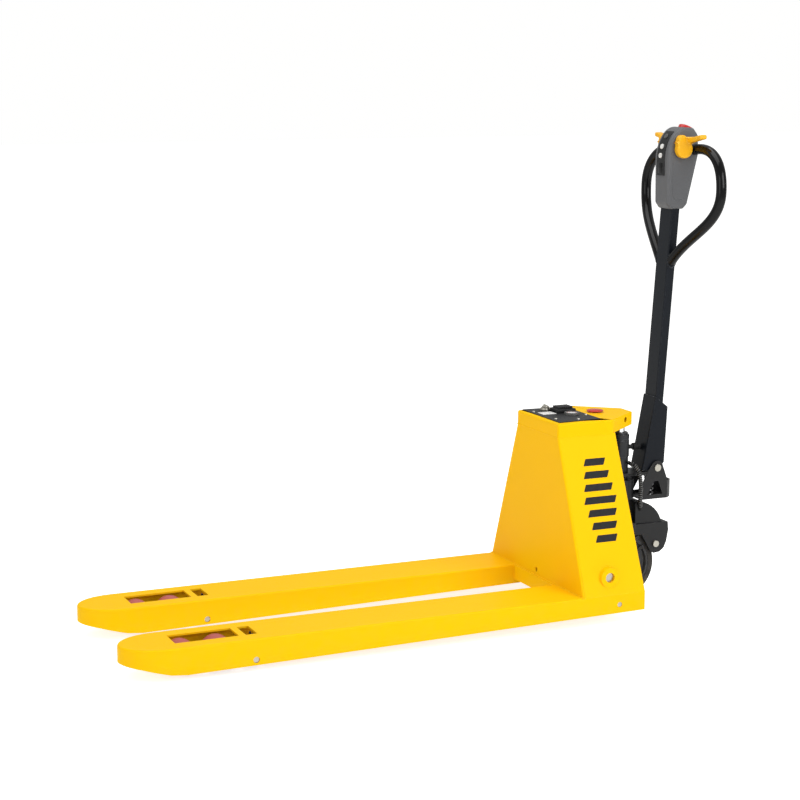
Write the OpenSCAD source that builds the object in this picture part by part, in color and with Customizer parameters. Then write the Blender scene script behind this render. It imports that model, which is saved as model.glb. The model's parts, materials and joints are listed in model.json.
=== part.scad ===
// Electric pallet truck: two forks under a sheet steel cowl, a tiller that steers the drive wheel,
// and a linkage that lowers the load rollers as the cowl rises on its ram.
// Millimetres, +Z up, +X to the operator; the origin is on the floor under the middle of the truck.

/* [Forks] */
// Length of the forks from the cowl to the tip
fork_len = 1220; // [1000:10:1400]
// Width over both forks
overall_w = 540; // [520:5:600]
// Width of one fork
fork_w = 158; // [150:2:176]
// Height of the fork tops when lowered
fork_top = 85; // [84:0.5:90]
// Thickness of the fork top plate
fork_plate = 4.5; // [3:0.5:5]
// Thickness of the fork side skirts
skirt_t = 5; // [3:0.5:8]
// Depth of the skirts at the cowl
skirt_heel = 49; // [44:1:60]
// Depth of the skirts beside the rollers
skirt_deep = 69; // [66:1:78]
// Depth of the skirt at the tip
skirt_nose = 42; // [36:1:60]
// Length of the rounded nose
nose_len = 109; // [80:1:140]

/* [Load rollers] */
// Diameter of a load roller
roller_d = 80; // [74:1:80]
// Width of a load roller
roller_w = 62; // [50:1:64]
// Distance between the two rollers of a bogie
roller_pitch = 92; // [84:1:100]
// Distance from the fork tip to the leg pivot
tip_to_leg = 322.4; // [310:0.2:400]
// Length of a leg from its pivot to the bogie
leg_len = 119.4; // [110:1:130]
// Diameter of the leg pivot pins
leg_pin_d = 16; // [12:1:18]

/* [Cowl] */
// Height of the cowl's top
cowl_h = 520; // [510:2:640]
// Height of the upright band above the crease
band_h = 38; // [30:1:60]
// Width of the cowl at its top
cowl_top_w = 238; // [220:2:280]
// Depth of the cowl at the floor end
cowl_depth = 184; // [170:1:200]
// Thickness of the cowl's sheet
sheet_t = 5; // [3:0.5:8]
// Diameter of the pivot bosses on the cowl
boss_d = 52; // [40:1:60]

/* [Lift] */
// How far the forks rise
lift_travel = 115; // [80:5:115]
// Diameter of the lift ram
ram_d = 26; // [20:1:28]
// Diameter of the rocker shaft
rocker_shaft_d = 26; // [20:1:30]
// Distance from the rocker shaft to the carriage pins
rocker_reach = 113; // [105:1:118]

/* [Drive unit] */
// Distance from the cowl's front to the steering axis
steer_x = 255; // [250:1:270]
// Diameter of the drive wheel
wheel_d = 190; // [170:2:190]
// Width of the drive wheel
wheel_w = 70; // [56:1:74]
// Diameter of the steering column
column_d = 48; // [44:1:52]

/* [Tiller] */
// Height of the tiller's pivot
tiller_z = 359; // [350:1:365]
// Width of the tiller's bracket
bracket_w = 66; // [60:1:68]
// Width of the tiller's stem
stem_w = 60; // [50:1:60]
// Depth of the tiller's stem
stem_d = 26; // [20:1:30]
// How far the stem leans to the operator
stem_lean = 4.1; // [0:0.1:6]
// Height of the stem's upper end
stem_top = 1080; // [1000:5:1100]
// Diameter of the handle loop's tube
loop_d = 28; // [22:1:32]
// Widest distance between the loop's tube centres
loop_w = 384; // [340:4:460]
// Width of the control head
head_w = 68; // [64:1:90]

/* [Fits] */
// Radial clearance of a turning or sliding fit
run_fit = 0.05; // [0.02:0.01:0.1]
// Free gap between pieces that pass each other
gap = 0.5; // [0.3:0.1:1]

/* [Hidden] */
$fn = 48;

// The cowl's front face stands between the forks and the drive unit.
tail_len = 460;
heel_x = (fork_len - tail_len) / 2;
fork_y = (overall_w - fork_w) / 2;
fork_under = fork_top - fork_plate;
// The cowl is welded into a shallow seat milled in the fork tops.
seat_z = fork_top - 0.5;

// Load roller linkage, seen in the plane of one fork.
leg_x = fork_len - tip_to_leg;
leg_z = 32.2;
axle_z = roller_d / 2;
leg_rise = axle_z - leg_z;
leg_pin_r = leg_pin_d / 2;
leg_a0 = asin(leg_rise / leg_len);
leg_swing = leg_a0 + asin((lift_travel - leg_rise) / leg_len);
bogie_x = -leg_x - leg_len * cos(leg_a0);
leg_plate_y = 45;
leg_plate_t = 8;
bogie_plate_y = 36;
bogie_plate_t = 6;
roller_bore_r = 10;

// Rocker: its long arms carry the carriage, its short arms push the rods.
rocker_x = 83;
rocker_z = 130;
rocker_half = atan(lift_travel / 2 / rocker_reach);
carriage_pin_x = rocker_x + rocker_reach;
carriage_pin_z = rocker_z + lift_travel / 2;
carriage_pin_r = 9;
rod_stroke = 42.7;
rocker_arm = rod_stroke / 2 / sin(rocker_half);
rod_pin_x = rocker_x + rod_stroke / 2;
rod_pin_z = rocker_z - rocker_arm * cos(rocker_half);
rod_pin_r = 6;
lever_len = rod_stroke / 2 / sin(leg_swing / 2);
lever_pin_x = -leg_x + rod_stroke / 2;
lever_pin_z = leg_z + lever_len * cos(leg_swing / 2);
lever_pin_r = 4.5;
rod_z0 = 54;
rod_h = 12;
long_arm_y = fork_y - 7;
tray_half = long_arm_y - 19;

// Cowl outline: the sides lean in from the fork edges to the upright band.
crease_h = cowl_h - band_h;
slope = (overall_w - cowl_top_w) / 2 / (crease_h - fork_top);
sheet_h = sheet_t * sqrt(1 + slope * slope);
band_x = 163;
top_join_x = 148;
tail_half = 28;
tail_end = 276;
rim_z0 = cowl_h - 36;

// Drive unit
yoke_z = wheel_d + 6;
yoke_t = 10;
yoke_top = yoke_z + yoke_t;
hood_r = 81;
hood_z = yoke_top - 19;
yoke_y = wheel_w / 2 + 5;
yoke_leg_t = 6;
wheel_r = wheel_d / 2;
housing_r = 40;
housing_z0 = 275;
housing_z1 = 330;
gland_z1 = rim_z0 - 24;
gland_z0 = gland_z1 - 67;
ram_r = ram_d / 2;
column_r = column_d / 2;
barrel_bore_r = ram_r + 2;

// Tiller
pivot_x = 352.6;
cheek_y = bracket_w / 2 + 3;
cheek_t = 4;
pivot_r = 8;
bracket_t = 4;
throttle_x = 409;
throttle_z = 1227;
throttle_r = 6;

// Control head: the front face rises straight, then curves back to the top.
front_x = 366;
face_z = 1195;
face_a = 55;
face_b = 90;
face_buttons = [9, 25, 46];
belly_at = [434, 1262];
belly_tilt = 24;
belly_r = 22;
stop_x = 176;
head_rear = 465;

// Height along the cowl's outer side at which its half width is given.
function side_y(z) = overall_w / 2 - (min(z, crease_h) - fork_top) * slope;

// Points of an arc from angle a0 to a1.
function arc(cx, cy, r, a0, a1, n = 8) =
    [for (i = [0:n]) let (a = a0 + (a1 - a0) * i / n) [cx + r * cos(a), cy + r * sin(a)]];

// Extrudes an X-Z outline across Y, from y0 to y1.
module slab(y0, y1) {
    translate([0, y1, 0]) rotate([90, 0, 0]) linear_extrude(y1 - y0) children();
}

// The same, on both sides of the middle.
module slabs(y0, y1) {
    slab(y0, y1) children();
    slab(-y1, -y0) children();
}

// A round bar along Y.
module bar_y(x, z, r, y0, y1) {
    translate([x, y1, z]) rotate([90, 0, 0]) cylinder(r = r, h = y1 - y0);
}

// An upright round bar.
module bar_z(x, y, r, z0, z1) {
    translate([x, y, z0]) cylinder(r = r, h = z1 - z0);
}

// A box given by its lowest and highest corners.
module box(lo, hi) {
    translate(lo) cube(hi - lo);
}

// A flat link between two eyes, as an X-Z outline.
module link(a, b, ra, rb, w) {
    d = b - a;
    n = [-d[1], d[0]] / norm(d) * w / 2;
    translate(a) circle(ra);
    translate(b) circle(rb);
    polygon([a + n, a - n, b - n, b + n]);
}

// Everything is drawn from the cowl's front face, then moved to the truck's own origin.
module placed(side = 0) {
    translate([heel_x, side * fork_y, 0]) children();
}

// --- Forks and cowl ---

// Plan outline of a fork, drawn in by inset, ending at tail.
module fork_plan(inset, tail) {
    half = fork_w / 2 - inset;
    nose_x = -fork_len + nose_len;
    polygon(concat([[tail, -half], [tail, half]],
        [for (a = [90:7.5:270]) [nose_x + (nose_len - inset) * cos(a), half * sin(a)]]));
}

module fork_side() {
    low = fork_top - skirt_deep;
    polygon([[cowl_depth, fork_top], [cowl_depth, fork_top - skirt_heel],
        [-fork_len + nose_len + 40, low], [-fork_len + nose_len, low + 4],
        [-fork_len + nose_len * 0.4, low + 20],
        [-fork_len, fork_top - skirt_nose], [-fork_len, fork_top]]);
}

module fork(side) {
    window_half = 35.5;
    color("gold") placed(side) difference() {
        union() {
            translate([0, 0, fork_under]) linear_extrude(fork_plate) fork_plan(0, cowl_depth);
            intersection() {
                difference() {
                    linear_extrude(fork_top) fork_plan(0, cowl_depth);
                    translate([0, 0, -1]) linear_extrude(fork_top + 2)
                        fork_plan(skirt_t, cowl_depth + 1);
                }
                slab(-fork_w / 2, fork_w / 2) fork_side();
            }
        }
        // roller window and the small inspection window behind it
        box([bogie_x - 72, -window_half, fork_under - 1], [bogie_x + 90, window_half, fork_top + 1]);
        box([-leg_x - 12, -window_half, fork_under - 1], [-leg_x + 18, window_half, fork_top + 1]);
        bar_y(-leg_x, leg_z, leg_pin_r + run_fit, -fork_w / 2 - 1, fork_w / 2 + 1);
        // room for the rocker arms under the cowl
        arm_lo = side > 0 ? -32 : -18;
        arm_hi = side > 0 ? 18 : 32;
        box([38, arm_lo, fork_under - 1], [cowl_depth + 1, arm_hi, fork_top + 1]);
        // weld seat of the cowl, and the plug bolt near the heel
        box([0, -fork_w, seat_z], [cowl_depth + 1, fork_w, fork_top + 1]);
        bar_y(109, 57, 7, side * fork_w / 2 - skirt_t - 1, side * fork_w / 2 + skirt_t + 1);
    }
}
module fork_left() { fork(-1); }
module fork_right() { fork(1); }

module cross_member() {
    inner = overall_w / 2 - fork_w;
    color("gold") placed() difference() {
        box([-8, -inner, fork_top - 40], [70, inner, fork_top]);
        box([-3, -inner - 1, fork_top - 41], [71, inner + 1, fork_top - sheet_t]);
        box([0, -inner - 1, seat_z], [71, inner + 1, fork_top + 1]);
    }
}

module front_plate() {
    w0 = overall_w / 2;
    w1 = cowl_top_w / 2;
    color("gold") placed() difference() {
        rotate([90, 0, 90]) linear_extrude(sheet_t) polygon([[-w0, seat_z], [w0, seat_z],
            [w0, fork_top], [w1, crease_h], [w1, cowl_h], [-w1, cowl_h], [-w1, crease_h],
            [-w0, fork_top]]);
        translate([-1, 0, fork_top + 14]) rotate([0, 90, 0]) cylinder(r = 6, h = sheet_t + 2);
    }
}

module side_plate(side) {
    w0 = overall_w / 2;
    w1 = cowl_top_w / 2;
    inner_crease = fork_top + (w0 - sheet_h - w1 + sheet_t) / slope;
    boss_in = side_y(rocker_z) - 24;
    boss_out = side_y(rocker_z) + 10;
    mirror([0, side < 0 ? 1 : 0, 0]) color("gold") placed() difference() {
        union() {
            intersection() {
                translate([sheet_t, 0, 0]) rotate([90, 0, 90]) linear_extrude(cowl_depth)
                    polygon([[w0, seat_z], [w0, fork_top], [w1, crease_h], [w1, cowl_h],
                        [w1 - sheet_t, cowl_h], [w1 - sheet_t, inner_crease], [w0 - sheet_h, seat_z]]);
                slab(0, w0 + 1) polygon([[0, 0], [cowl_depth, 0], [cowl_depth, fork_top],
                    [cowl_depth - 12, rim_z0], [band_x, rim_z0], [band_x, cowl_h + 1],
                    [0, cowl_h + 1]]);
            }
            bar_y(rocker_x, rocker_z, boss_d / 2, boss_in, boss_out);
        }
        bar_y(rocker_x, rocker_z, rocker_shaft_d / 2 + run_fit, boss_in - 1, boss_out + 1);
    }
}
module side_plate_left() { side_plate(-1); }
module side_plate_right() { side_plate(1); }

module top_plate() {
    w = cowl_top_w / 2 - sheet_t;
    color("gold") placed() difference() {
        box([sheet_t, -w, cowl_h - sheet_t], [top_join_x, w, cowl_h]);
        box([20, -w + 22, cowl_h - sheet_t - 1], [126, w - 22, cowl_h + 1]);
    }
}

module rear_bracket() {
    w1 = cowl_top_w / 2;
    w = w1 - sheet_t;
    color("gold") placed() difference() {
        union() {
            difference() {
                translate([0, 0, rim_z0]) linear_extrude(cowl_h - rim_z0) polygon([
                    [top_join_x, -w], [band_x, -w], [band_x, -w1], [band_x + 3, -w1],
                    [tail_end, -tail_half], [tail_end, tail_half], [band_x + 3, w1], [band_x, w1],
                    [band_x, w], [top_join_x, w]]);
                translate([0, 0, rim_z0 - 1]) linear_extrude(cowl_h - rim_z0 - sheet_t + 1)
                    polygon([[top_join_x - 1, -w - 1], [band_x + 1, -w - 1],
                        [tail_end - sheet_t, -tail_half + sheet_t / 2],
                        [tail_end - sheet_t, tail_half - sheet_t / 2], [band_x + 1, w + 1],
                        [top_join_x - 1, w + 1]]);
            }
            bar_z(steer_x, 0, ram_r + 8, rim_z0, cowl_h - sheet_t + 1);
        }
        bar_z(steer_x, 0, ram_r, rim_z0 - 1, cowl_h - sheet_t);
        bar_z(stop_x, 0, 9, rim_z0 - 1, cowl_h + 1);
        for (y = [-62, 62]) bar_y(237, cowl_h - 15, 7, y - 20, y + 20);
    }
}

module equipment_tray() {
    shelf_w = side_y(264) - sheet_h - 4;
    top_z = cowl_h - 46;
    top_w = side_y(top_z) - sheet_h - 4;
    color("dimgray") placed() {
        for (z = [157, 264]) box([sheet_t, -tray_half, z], [146, tray_half, z + 3]);
        translate([143, 0, 0]) rotate([90, 0, 90]) linear_extrude(3) polygon([
            [-tray_half, 157], [tray_half, 157], [tray_half, 264], [shelf_w, 264],
            [top_w, top_z], [-top_w, top_z], [-shelf_w, 264], [-tray_half, 264]]);
    }
}

module rocker_shaft() {
    half = side_y(rocker_z) + 3;
    color("silver") placed() bar_y(rocker_x, rocker_z, rocker_shaft_d / 2, -half, half);
}

module leg_pins() {
    half = fork_w / 2 - 2.5;
    color("silver") for (side = [-1, 1]) placed(side) {
        bar_y(-leg_x, leg_z, leg_pin_r, -half, half);
        bar_y(109, 57, 7 - run_fit, side > 0 ? half - 1 : -half - 1, side > 0 ? half + 1 : -half + 1);
    }
}

// --- Inside the cowl ---

module battery_pack() {
    color("darkslategray") placed() {
        box([12, -86, 267], [134, 86, cowl_h - 20]);
        for (y = [-60, 60]) box([30, y - 10, cowl_h - 20], [116, y + 10, cowl_h - 14]);
    }
}

module motor_controller() {
    color("gray") placed() {
        box([90, -100, 160], [140, 60, 172]);
        for (i = [0:9]) box([92, -96 + 16 * i, 172], [138, -92 + 16 * i, 196]);
    }
}

module hydraulic_tank() {
    color("black") placed() {
        box([12, 15 - tray_half, 160], [76, -40, 236]);
        bar_z(44, 45 - tray_half, 12, 236, 244);
    }
}

module pump_motor() {
    color("black") placed() {
        box([16, -39, 160], [76, 20, 190]);
        bar_y(46, 175, 15, 20, 30);
        bar_y(46, 196, 34, 30, tray_half - 30);
    }
}

// --- Top of the cowl ---

module top_panel() {
    color("#202225") placed() difference() {
        translate([0, 0, cowl_h]) linear_extrude(2.5)
            polygon([[10, -107], [137, -99], [137, 99], [10, 107]]);
        bar_z(64, 76, 13 + run_fit, cowl_h - 1, cowl_h + 4);
    }
}

module panel_screws() {
    color("silver") placed() for (p = [[20, 60], [24, -60], [78, -86], [128, -36], [128, 86]])
        difference() {
            translate([p[0], p[1], cowl_h + 2.5]) cylinder(r1 = 4.5, r2 = 3.5, h = 2);
            translate([p[0], p[1], cowl_h + 3.5]) cylinder(r = 1.8, h = 2, $fn = 6);
        }
}

module power_connector() {
    color("#18191b") placed() {
        box([68, 12, cowl_h + 2.5], [124, 58, cowl_h + 12]);
        box([74, 18, cowl_h + 12], [118, 52, cowl_h + 18]);
    }
}

module battery_gauge() {
    color("lightgray") placed() difference() {
        bar_z(98, -12, 21, cowl_h + 2.5, cowl_h + 8);
        bar_z(98, -12, 17, cowl_h + 7, cowl_h + 9);
    }
}

module key_switch() {
    color("gray") placed() difference() {
        union() {
            bar_z(64, 76, 13, cowl_h - 14, cowl_h + 9);
            bar_z(64, 76, 17, cowl_h + 2.5, cowl_h + 6);
        }
        bar_z(64, 76, 4 + run_fit, cowl_h - 10, cowl_h + 10);
    }
}

module key() {
    color("silver") placed() {
        bar_z(64, 76, 4, cowl_h - 9, cowl_h + 11);
        bar_z(64, 76, 10, cowl_h + 9 + gap, cowl_h + 13);
        box([62, 67, cowl_h + 12.5], [66, 85, cowl_h + 17]);
    }
}

module estop_collar() {
    color("gold") placed() difference() {
        union() {
            bar_z(stop_x, 0, 21, cowl_h, cowl_h + 1);
            bar_z(stop_x, 0, 9, cowl_h - 22, cowl_h + 1);
        }
        bar_z(stop_x, 0, 7 + run_fit, cowl_h - 18, cowl_h + 6);
    }
}

module estop_button() {
    color("red") placed() {
        bar_z(stop_x, 0, 7, cowl_h - 10, cowl_h + 5);
        translate([stop_x, 0, cowl_h + 3.5]) rotate_extrude() polygon(concat(
            [[0, 0], [21, 0], [23, 1.5]], arc(0, -83, 88, 75, 90, 5)));
    }
}

// --- Lift linkage ---

module lift_ram() {
    color("whitesmoke") placed() {
        bar_z(steer_x, 0, ram_r, 245, cowl_h - sheet_t);
        bar_z(steer_x, 0, barrel_bore_r - run_fit, 233, 250);
    }
}

module rocker() {
    out = long_arm_y + 6;
    arm = rocker_reach + 38;
    color("#2b2d30") placed() difference() {
        union() {
            bar_y(rocker_x, rocker_z, 24, -out - 10, out + 10);
            // long arms with an open notch for the carriage pins
            slabs(long_arm_y - 6, out) translate([rocker_x, rocker_z]) rotate(rocker_half)
                polygon([[0, -22], [arm, -19], [arm, 19], [0, 22]]);
            // short arms with the rod pins
            for (s = [-1, 1]) translate([0, s * fork_y, 0]) {
                slab(-6, 6) link([rocker_x, rocker_z], [rod_pin_x, rod_pin_z], 20, 10, 18);
                bar_y(rod_pin_x, rod_pin_z, rod_pin_r, -14, 14);
            }
        }
        bar_y(rocker_x, rocker_z, rocker_shaft_d / 2 + run_fit, -out - 11, out + 11);
        slabs(long_arm_y - 7, out + 1) translate([rocker_x, rocker_z]) rotate(rocker_half)
            translate([rocker_reach - carriage_pin_r - 5, -carriage_pin_r - 2.5])
                square([80, 2 * carriage_pin_r + 5]);
    }
}

module push_rod(side) {
    back_top = rod_pin_z + rod_pin_r + 5;
    notch = lever_pin_r + 0.9;
    color("#2b2d30") placed(side) difference() {
        union() {
            box([-leg_x + 40, -9, rod_z0], [rod_pin_x + 14, 9, rod_z0 + rod_h]);
            slabs(6, 11) translate([lever_pin_x - 10, rod_z0]) square([38, fork_under - rod_z0 - 2]);
            slabs(8, 13) translate([rod_pin_x - 14, rod_z0]) square([28, back_top - rod_z0]);
        }
        slab(-14, 14) translate([lever_pin_x - notch, lever_pin_z - notch]) square([2 * notch, 60]);
        slab(-14, 14) translate([rod_pin_x - rod_pin_r - 0.8, rod_pin_z - rod_pin_r - 6])
            square([2 * rod_pin_r + 1.6, 2 * rod_pin_r + 8]);
    }
}
module push_rod_left() { push_rod(-1); }
module push_rod_right() { push_rod(1); }

module leg(side) {
    plate_in = leg_plate_y - leg_plate_t / 2;
    plate_out = leg_plate_y + leg_plate_t / 2;
    color("#2b2d30") placed(side) difference() {
        union() {
            bar_y(-leg_x, leg_z, leg_pin_r + 7, -plate_out, plate_out);
            slabs(plate_in, plate_out)
                link([-leg_x, leg_z], [bogie_x, axle_z], leg_pin_r + 7, 14, 24);
            slab(-5, 5) link([-leg_x, leg_z], [lever_pin_x, lever_pin_z], 10, 7.5, 13);
            bar_y(lever_pin_x, lever_pin_z, lever_pin_r, -11, 11);
        }
        bar_y(-leg_x, leg_z, leg_pin_r + run_fit, -plate_out - 1, plate_out + 1);
        bar_y(bogie_x, axle_z, 8 + run_fit, plate_in - 1, plate_out + 1);
        bar_y(bogie_x, axle_z, 8 + run_fit, -plate_out - 1, -plate_in + 1);
    }
}
module leg_left() { leg(-1); }
module leg_right() { leg(1); }

module bogie(side) {
    plate_in = bogie_plate_y - bogie_plate_t / 2;
    plate_out = bogie_plate_y + bogie_plate_t / 2;
    stub_out = leg_plate_y + leg_plate_t / 2;
    a = [bogie_x - roller_pitch / 2, axle_z];
    b = [bogie_x + roller_pitch / 2, axle_z];
    color("#2b2d30") placed(side) {
        slabs(plate_in, plate_out) link(a, b, 15, 15, 22);
        for (p = [a, b]) bar_y(p[0], p[1], roller_bore_r, -plate_out, plate_out);
        bar_y(bogie_x, axle_z, 8, plate_in, stub_out);
        bar_y(bogie_x, axle_z, 8, -stub_out, -plate_in);
    }
}
module bogie_left() { bogie(-1); }
module bogie_right() { bogie(1); }

module load_roller(side, end) {
    r = roller_d / 2;
    half = roller_w / 2;
    color("indianred") placed(side) translate([bogie_x + end * roller_pitch / 2, 0, axle_z])
        rotate([90, 0, 0]) rotate_extrude() polygon([[roller_bore_r + run_fit, -half],
            [r - 3, -half], [r, -half + 3], [r, half - 3], [r - 3, half], [roller_bore_r + run_fit, half]]);
}
module roller_left_front() { load_roller(-1, -1); }
module roller_left_rear() { load_roller(-1, 1); }
module roller_right_front() { load_roller(1, -1); }
module roller_right_rear() { load_roller(1, 1); }

module carriage() {
    x0 = cowl_depth + 3;
    end_in = long_arm_y - 20;
    end_out = long_arm_y - 8;
    color("#232528") placed() difference() {
        union() {
            box([x0 - 4, -end_out, 210], [x0 + 18, end_out, 245]);
            for (y = [-end_out, end_in])
                box([x0, y, carriage_pin_z - 15], [x0 + 22, y + end_out - end_in, 245]);
            bar_y(carriage_pin_x, carriage_pin_z, carriage_pin_r, end_in, end_out + 17);
            bar_y(carriage_pin_x, carriage_pin_z, carriage_pin_r, -end_out - 17, -end_in);
            slab(-14, 14) polygon([[x0 - 4, 212], [x0 + 25, 212], [x0 + 25, housing_z0],
                [steer_x - column_r - 4, housing_z0], [steer_x - column_r - 4, housing_z1],
                [x0 + 10, housing_z1], [x0 - 4, housing_z0]]);
            bar_z(steer_x, 0, housing_r, housing_z0, housing_z1);
        }
        bar_z(steer_x, 0, column_r + run_fit, housing_z0 - 1, housing_z1 + 1);
    }
}

// --- Drive unit ---

module steer_column() {
    color("#303338") placed() difference() {
        bar_z(steer_x, 0, column_r, yoke_top, gland_z0);
        bar_z(steer_x, 0, barrel_bore_r, yoke_top + 12, gland_z0 + 1);
    }
}

module gland() {
    color("#3a3d42") placed() difference() {
        union() {
            bar_z(steer_x, 0, column_r + 2, gland_z0, gland_z1 - 6);
            bar_z(steer_x, 0, column_r - 2, gland_z1 - 6, gland_z1);
        }
        bar_z(steer_x, 0, ram_r + run_fit, gland_z0 - 1, gland_z1 + 1);
        translate([steer_x, 0, gland_z1 - 22]) rotate_extrude()
            translate([column_r + 1, 0]) square([3, 4]);
    }
}

module drive_yoke() {
    rear = [[steer_x + 50, yoke_top], [387, yoke_top], [389, yoke_z - 14], [383, yoke_z - 46],
        [375, yoke_z - 64], [362, yoke_z - 74], [344, yoke_z - 76], [334, yoke_z - 72],
        [steer_x + 45, yoke_z - 14]];
    color("#26282b") placed() difference() {
        union() {
            translate([0, 0, yoke_z]) linear_extrude(yoke_t) {
                translate([steer_x, 0]) circle(yoke_y + yoke_leg_t);
                translate([steer_x, -yoke_y - yoke_leg_t])
                    square([387 - steer_x, 2 * (yoke_y + yoke_leg_t)]);
            }
            slabs(yoke_y, yoke_y + yoke_leg_t) {
                link([steer_x, wheel_r], [steer_x, yoke_top - 26], 26, 26, 52);
                polygon(rear);
                translate([steer_x, yoke_z - 20]) square([60, 20 + yoke_t]);
            }
            bar_y(347, yoke_z - 49, 8, -yoke_y - yoke_leg_t - 5, -yoke_y - yoke_leg_t + 1);
        }
        bar_y(steer_x, wheel_r, 12, -yoke_y - yoke_leg_t - 1, yoke_y + yoke_leg_t + 1);
    }
}

module gearbox() {
    y0 = yoke_y + yoke_leg_t;
    color("#4a4d52") placed() difference() {
        union() {
            slab(y0, y0 + 26) link([steer_x, wheel_r], [steer_x, yoke_z - 34], 40, 30, 64);
            bar_y(steer_x, wheel_r, 28, y0 + 25, y0 + 31);
            for (a = [0:60:300])
                bar_y(steer_x + 33 * cos(a), wheel_r + 33 * sin(a), 3.5, y0 + 25, y0 + 29);
        }
        bar_y(steer_x, wheel_r, 12 + run_fit, y0 - 1, y0 + 20);
    }
}

module wheel_axle() {
    y0 = yoke_y + yoke_leg_t;
    color("silver") placed() {
        bar_y(steer_x, wheel_r, 12, -y0 - 4, y0 + 18);
        bar_y(steer_x, wheel_r, 18, -y0 - 8, -y0);
    }
}

module traction_motor() {
    color("#55585c") placed() {
        bar_y(312, yoke_top + 26, 22, -36, 36);
        box([296, -30, yoke_top], [328, 30, yoke_top + 8]);
    }
}

module motor_hood() {
    half = yoke_y + 2;
    wall = 3;
    color("#1d1f21") placed() difference() {
        slab(-half, half) polygon(concat([[284, yoke_top], [284, hood_z + hood_r - 1]],
            arc(290, hood_z, hood_r, 90, 14, 12), [[376, yoke_top]]));
        slab(-half + wall, half - wall) polygon(concat([[284 + wall, yoke_top - 1],
            [284 + wall, hood_z + hood_r - 1 - wall]],
            arc(290, hood_z, hood_r - wall, 90, 14, 12), [[376 - wall, yoke_top - 1]]));
    }
}

module drive_hub() {
    half = wheel_w / 2;
    color("#8d9196") placed() translate([steer_x, 0, wheel_r]) rotate([90, 0, 0])
        rotate_extrude() polygon([[12 + run_fit, -half - 1], [26, -half - 1], [30, -half + 10],
            [wheel_r - 28, -half + 10], [wheel_r - 24, -half + 1], [wheel_r - 18, -half + 1],
            [wheel_r - 18, half - 1], [wheel_r - 24, half - 1], [wheel_r - 28, half - 10],
            [30, half - 10], [26, half + 1], [12 + run_fit, half + 1]]);
}

module drive_tyre() {
    half = wheel_w / 2;
    color("#2a2522") placed() translate([steer_x, 0, wheel_r]) rotate([90, 0, 0])
        rotate_extrude() polygon([[wheel_r - 18, -half], [wheel_r - 5, -half], [wheel_r, -half + 6],
            [wheel_r, half - 6], [wheel_r - 5, half], [wheel_r - 18, half]]);
}

// --- Tiller foot ---

module cheek_plan() {
    polygon(concat([[303, 272], [302, 307], [323, 350]],
        arc(pivot_x, tiller_z, 19, 150, 10, 8), [[385, 325], [385, 272]]));
}

module pivot_bracket() {
    inner = cheek_y;
    outer = cheek_y + cheek_t;
    color("#2e3033") placed() difference() {
        union() {
            slabs(inner, outer) cheek_plan();
            // rear wall wrapped round behind the spring
            difference() {
                translate([0, 0, 272]) linear_extrude(48) polygon([[384, -outer], [396, -outer + 8],
                    [408, -16], [408, 16], [396, outer - 8], [384, outer]]);
                translate([0, 0, 276]) linear_extrude(48) polygon([[383, -inner], [393, -inner + 7],
                    [404, -14], [404, 14], [393, inner - 7], [383, inner]]);
            }
            box([303, -outer, 272], [385, outer, 276]);
            // flange that clamps the column
            translate([0, 0, 341]) linear_extrude(8) {
                translate([steer_x, 0]) circle(inner);
                translate([steer_x, -inner - 1]) square([329 - steer_x, 2 * inner + 2]);
            }
        }
        bar_z(steer_x, 0, column_r, 340, 350);
        bar_y(pivot_x, tiller_z, pivot_r, -outer - 1, outer + 1);
        // window that shows the spring
        slab(-outer - 1, outer + 1) polygon([[322, 284], [344, 322], [357, 322], [370, 284]]);
    }
}

module pivot_pins() {
    outer = cheek_y + cheek_t;
    color("silver") placed() {
        bar_y(pivot_x, tiller_z, pivot_r, -outer - 2, outer + 2);
        for (s = [-1, 1]) bar_y(pivot_x, tiller_z, pivot_r + 2, min(s * outer, s * (outer + 4)),
            max(s * outer, s * (outer + 4)));
    }
}

// Four turns of wire between closed end rings.
module return_spring() {
    wire = 3.6;
    r = 12;
    turns = 4;
    color("silver") placed() translate([350, 0, 276]) {
        for (z = [wire / 2, 52]) translate([0, 0, z]) rotate_extrude($fn = 24)
            translate([r, 0]) circle(wire / 2, $fn = 8);
        for (i = [1:turns]) translate([0, 0, 52 * i / (turns + 1) + 1]) rotate([8, 0, 0])
            rotate_extrude($fn = 24) translate([r, 0]) circle(wire / 2, $fn = 8);
        cylinder(r = r - wire / 2 - 0.2, h = 54);
    }
}

module bumper() {
    color("#141414") placed() {
        translate([steer_x + column_r + 2, 0, gland_z0 + 23]) rotate([0, 90, 0])
            cylinder(r = 6, h = 20);
        translate([steer_x + column_r + 16, 0, gland_z0 + 23]) rotate([0, 90, 0])
            cylinder(r = 10, h = 61.5 - column_r - 16);
    }
}

// Points on the curve between four handles.
function bezier(p, t) = pow(1 - t, 3) * p[0] + 3 * t * pow(1 - t, 2) * p[1]
    + 3 * t * t * (1 - t) * p[2] + pow(t, 3) * p[3];

// A round tube along a list of points, with each ring square to the path.
module tube_along(path, r, sides) {
    n = len(path);
    function dir(i) = let (d = path[min(i + 1, n - 1)] - path[max(i - 1, 0)]) d / norm(d);
    function across(d) = let (c = cross(d, [0.07, 0.995, 0.07]), e = norm(c)) c / e;
    points = [for (i = [0:n - 1]) let (d = dir(i), u = across(d), v = cross(d, u))
        for (k = [0:sides - 1]) path[i] + r * (cos(360 * k / sides) * u + sin(360 * k / sides) * v)];
    quads = [for (i = [0:n - 2]) for (k = [0:sides - 1])
        let (a = i * sides + k, b = i * sides + (k + 1) % sides) [a, a + sides, b + sides, b]];
    polyhedron(points, concat([[for (k = [0:sides - 1]) k]], quads,
        [[for (k = [sides - 1:-1:0]) (n - 1) * sides + k]]));
}

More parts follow.
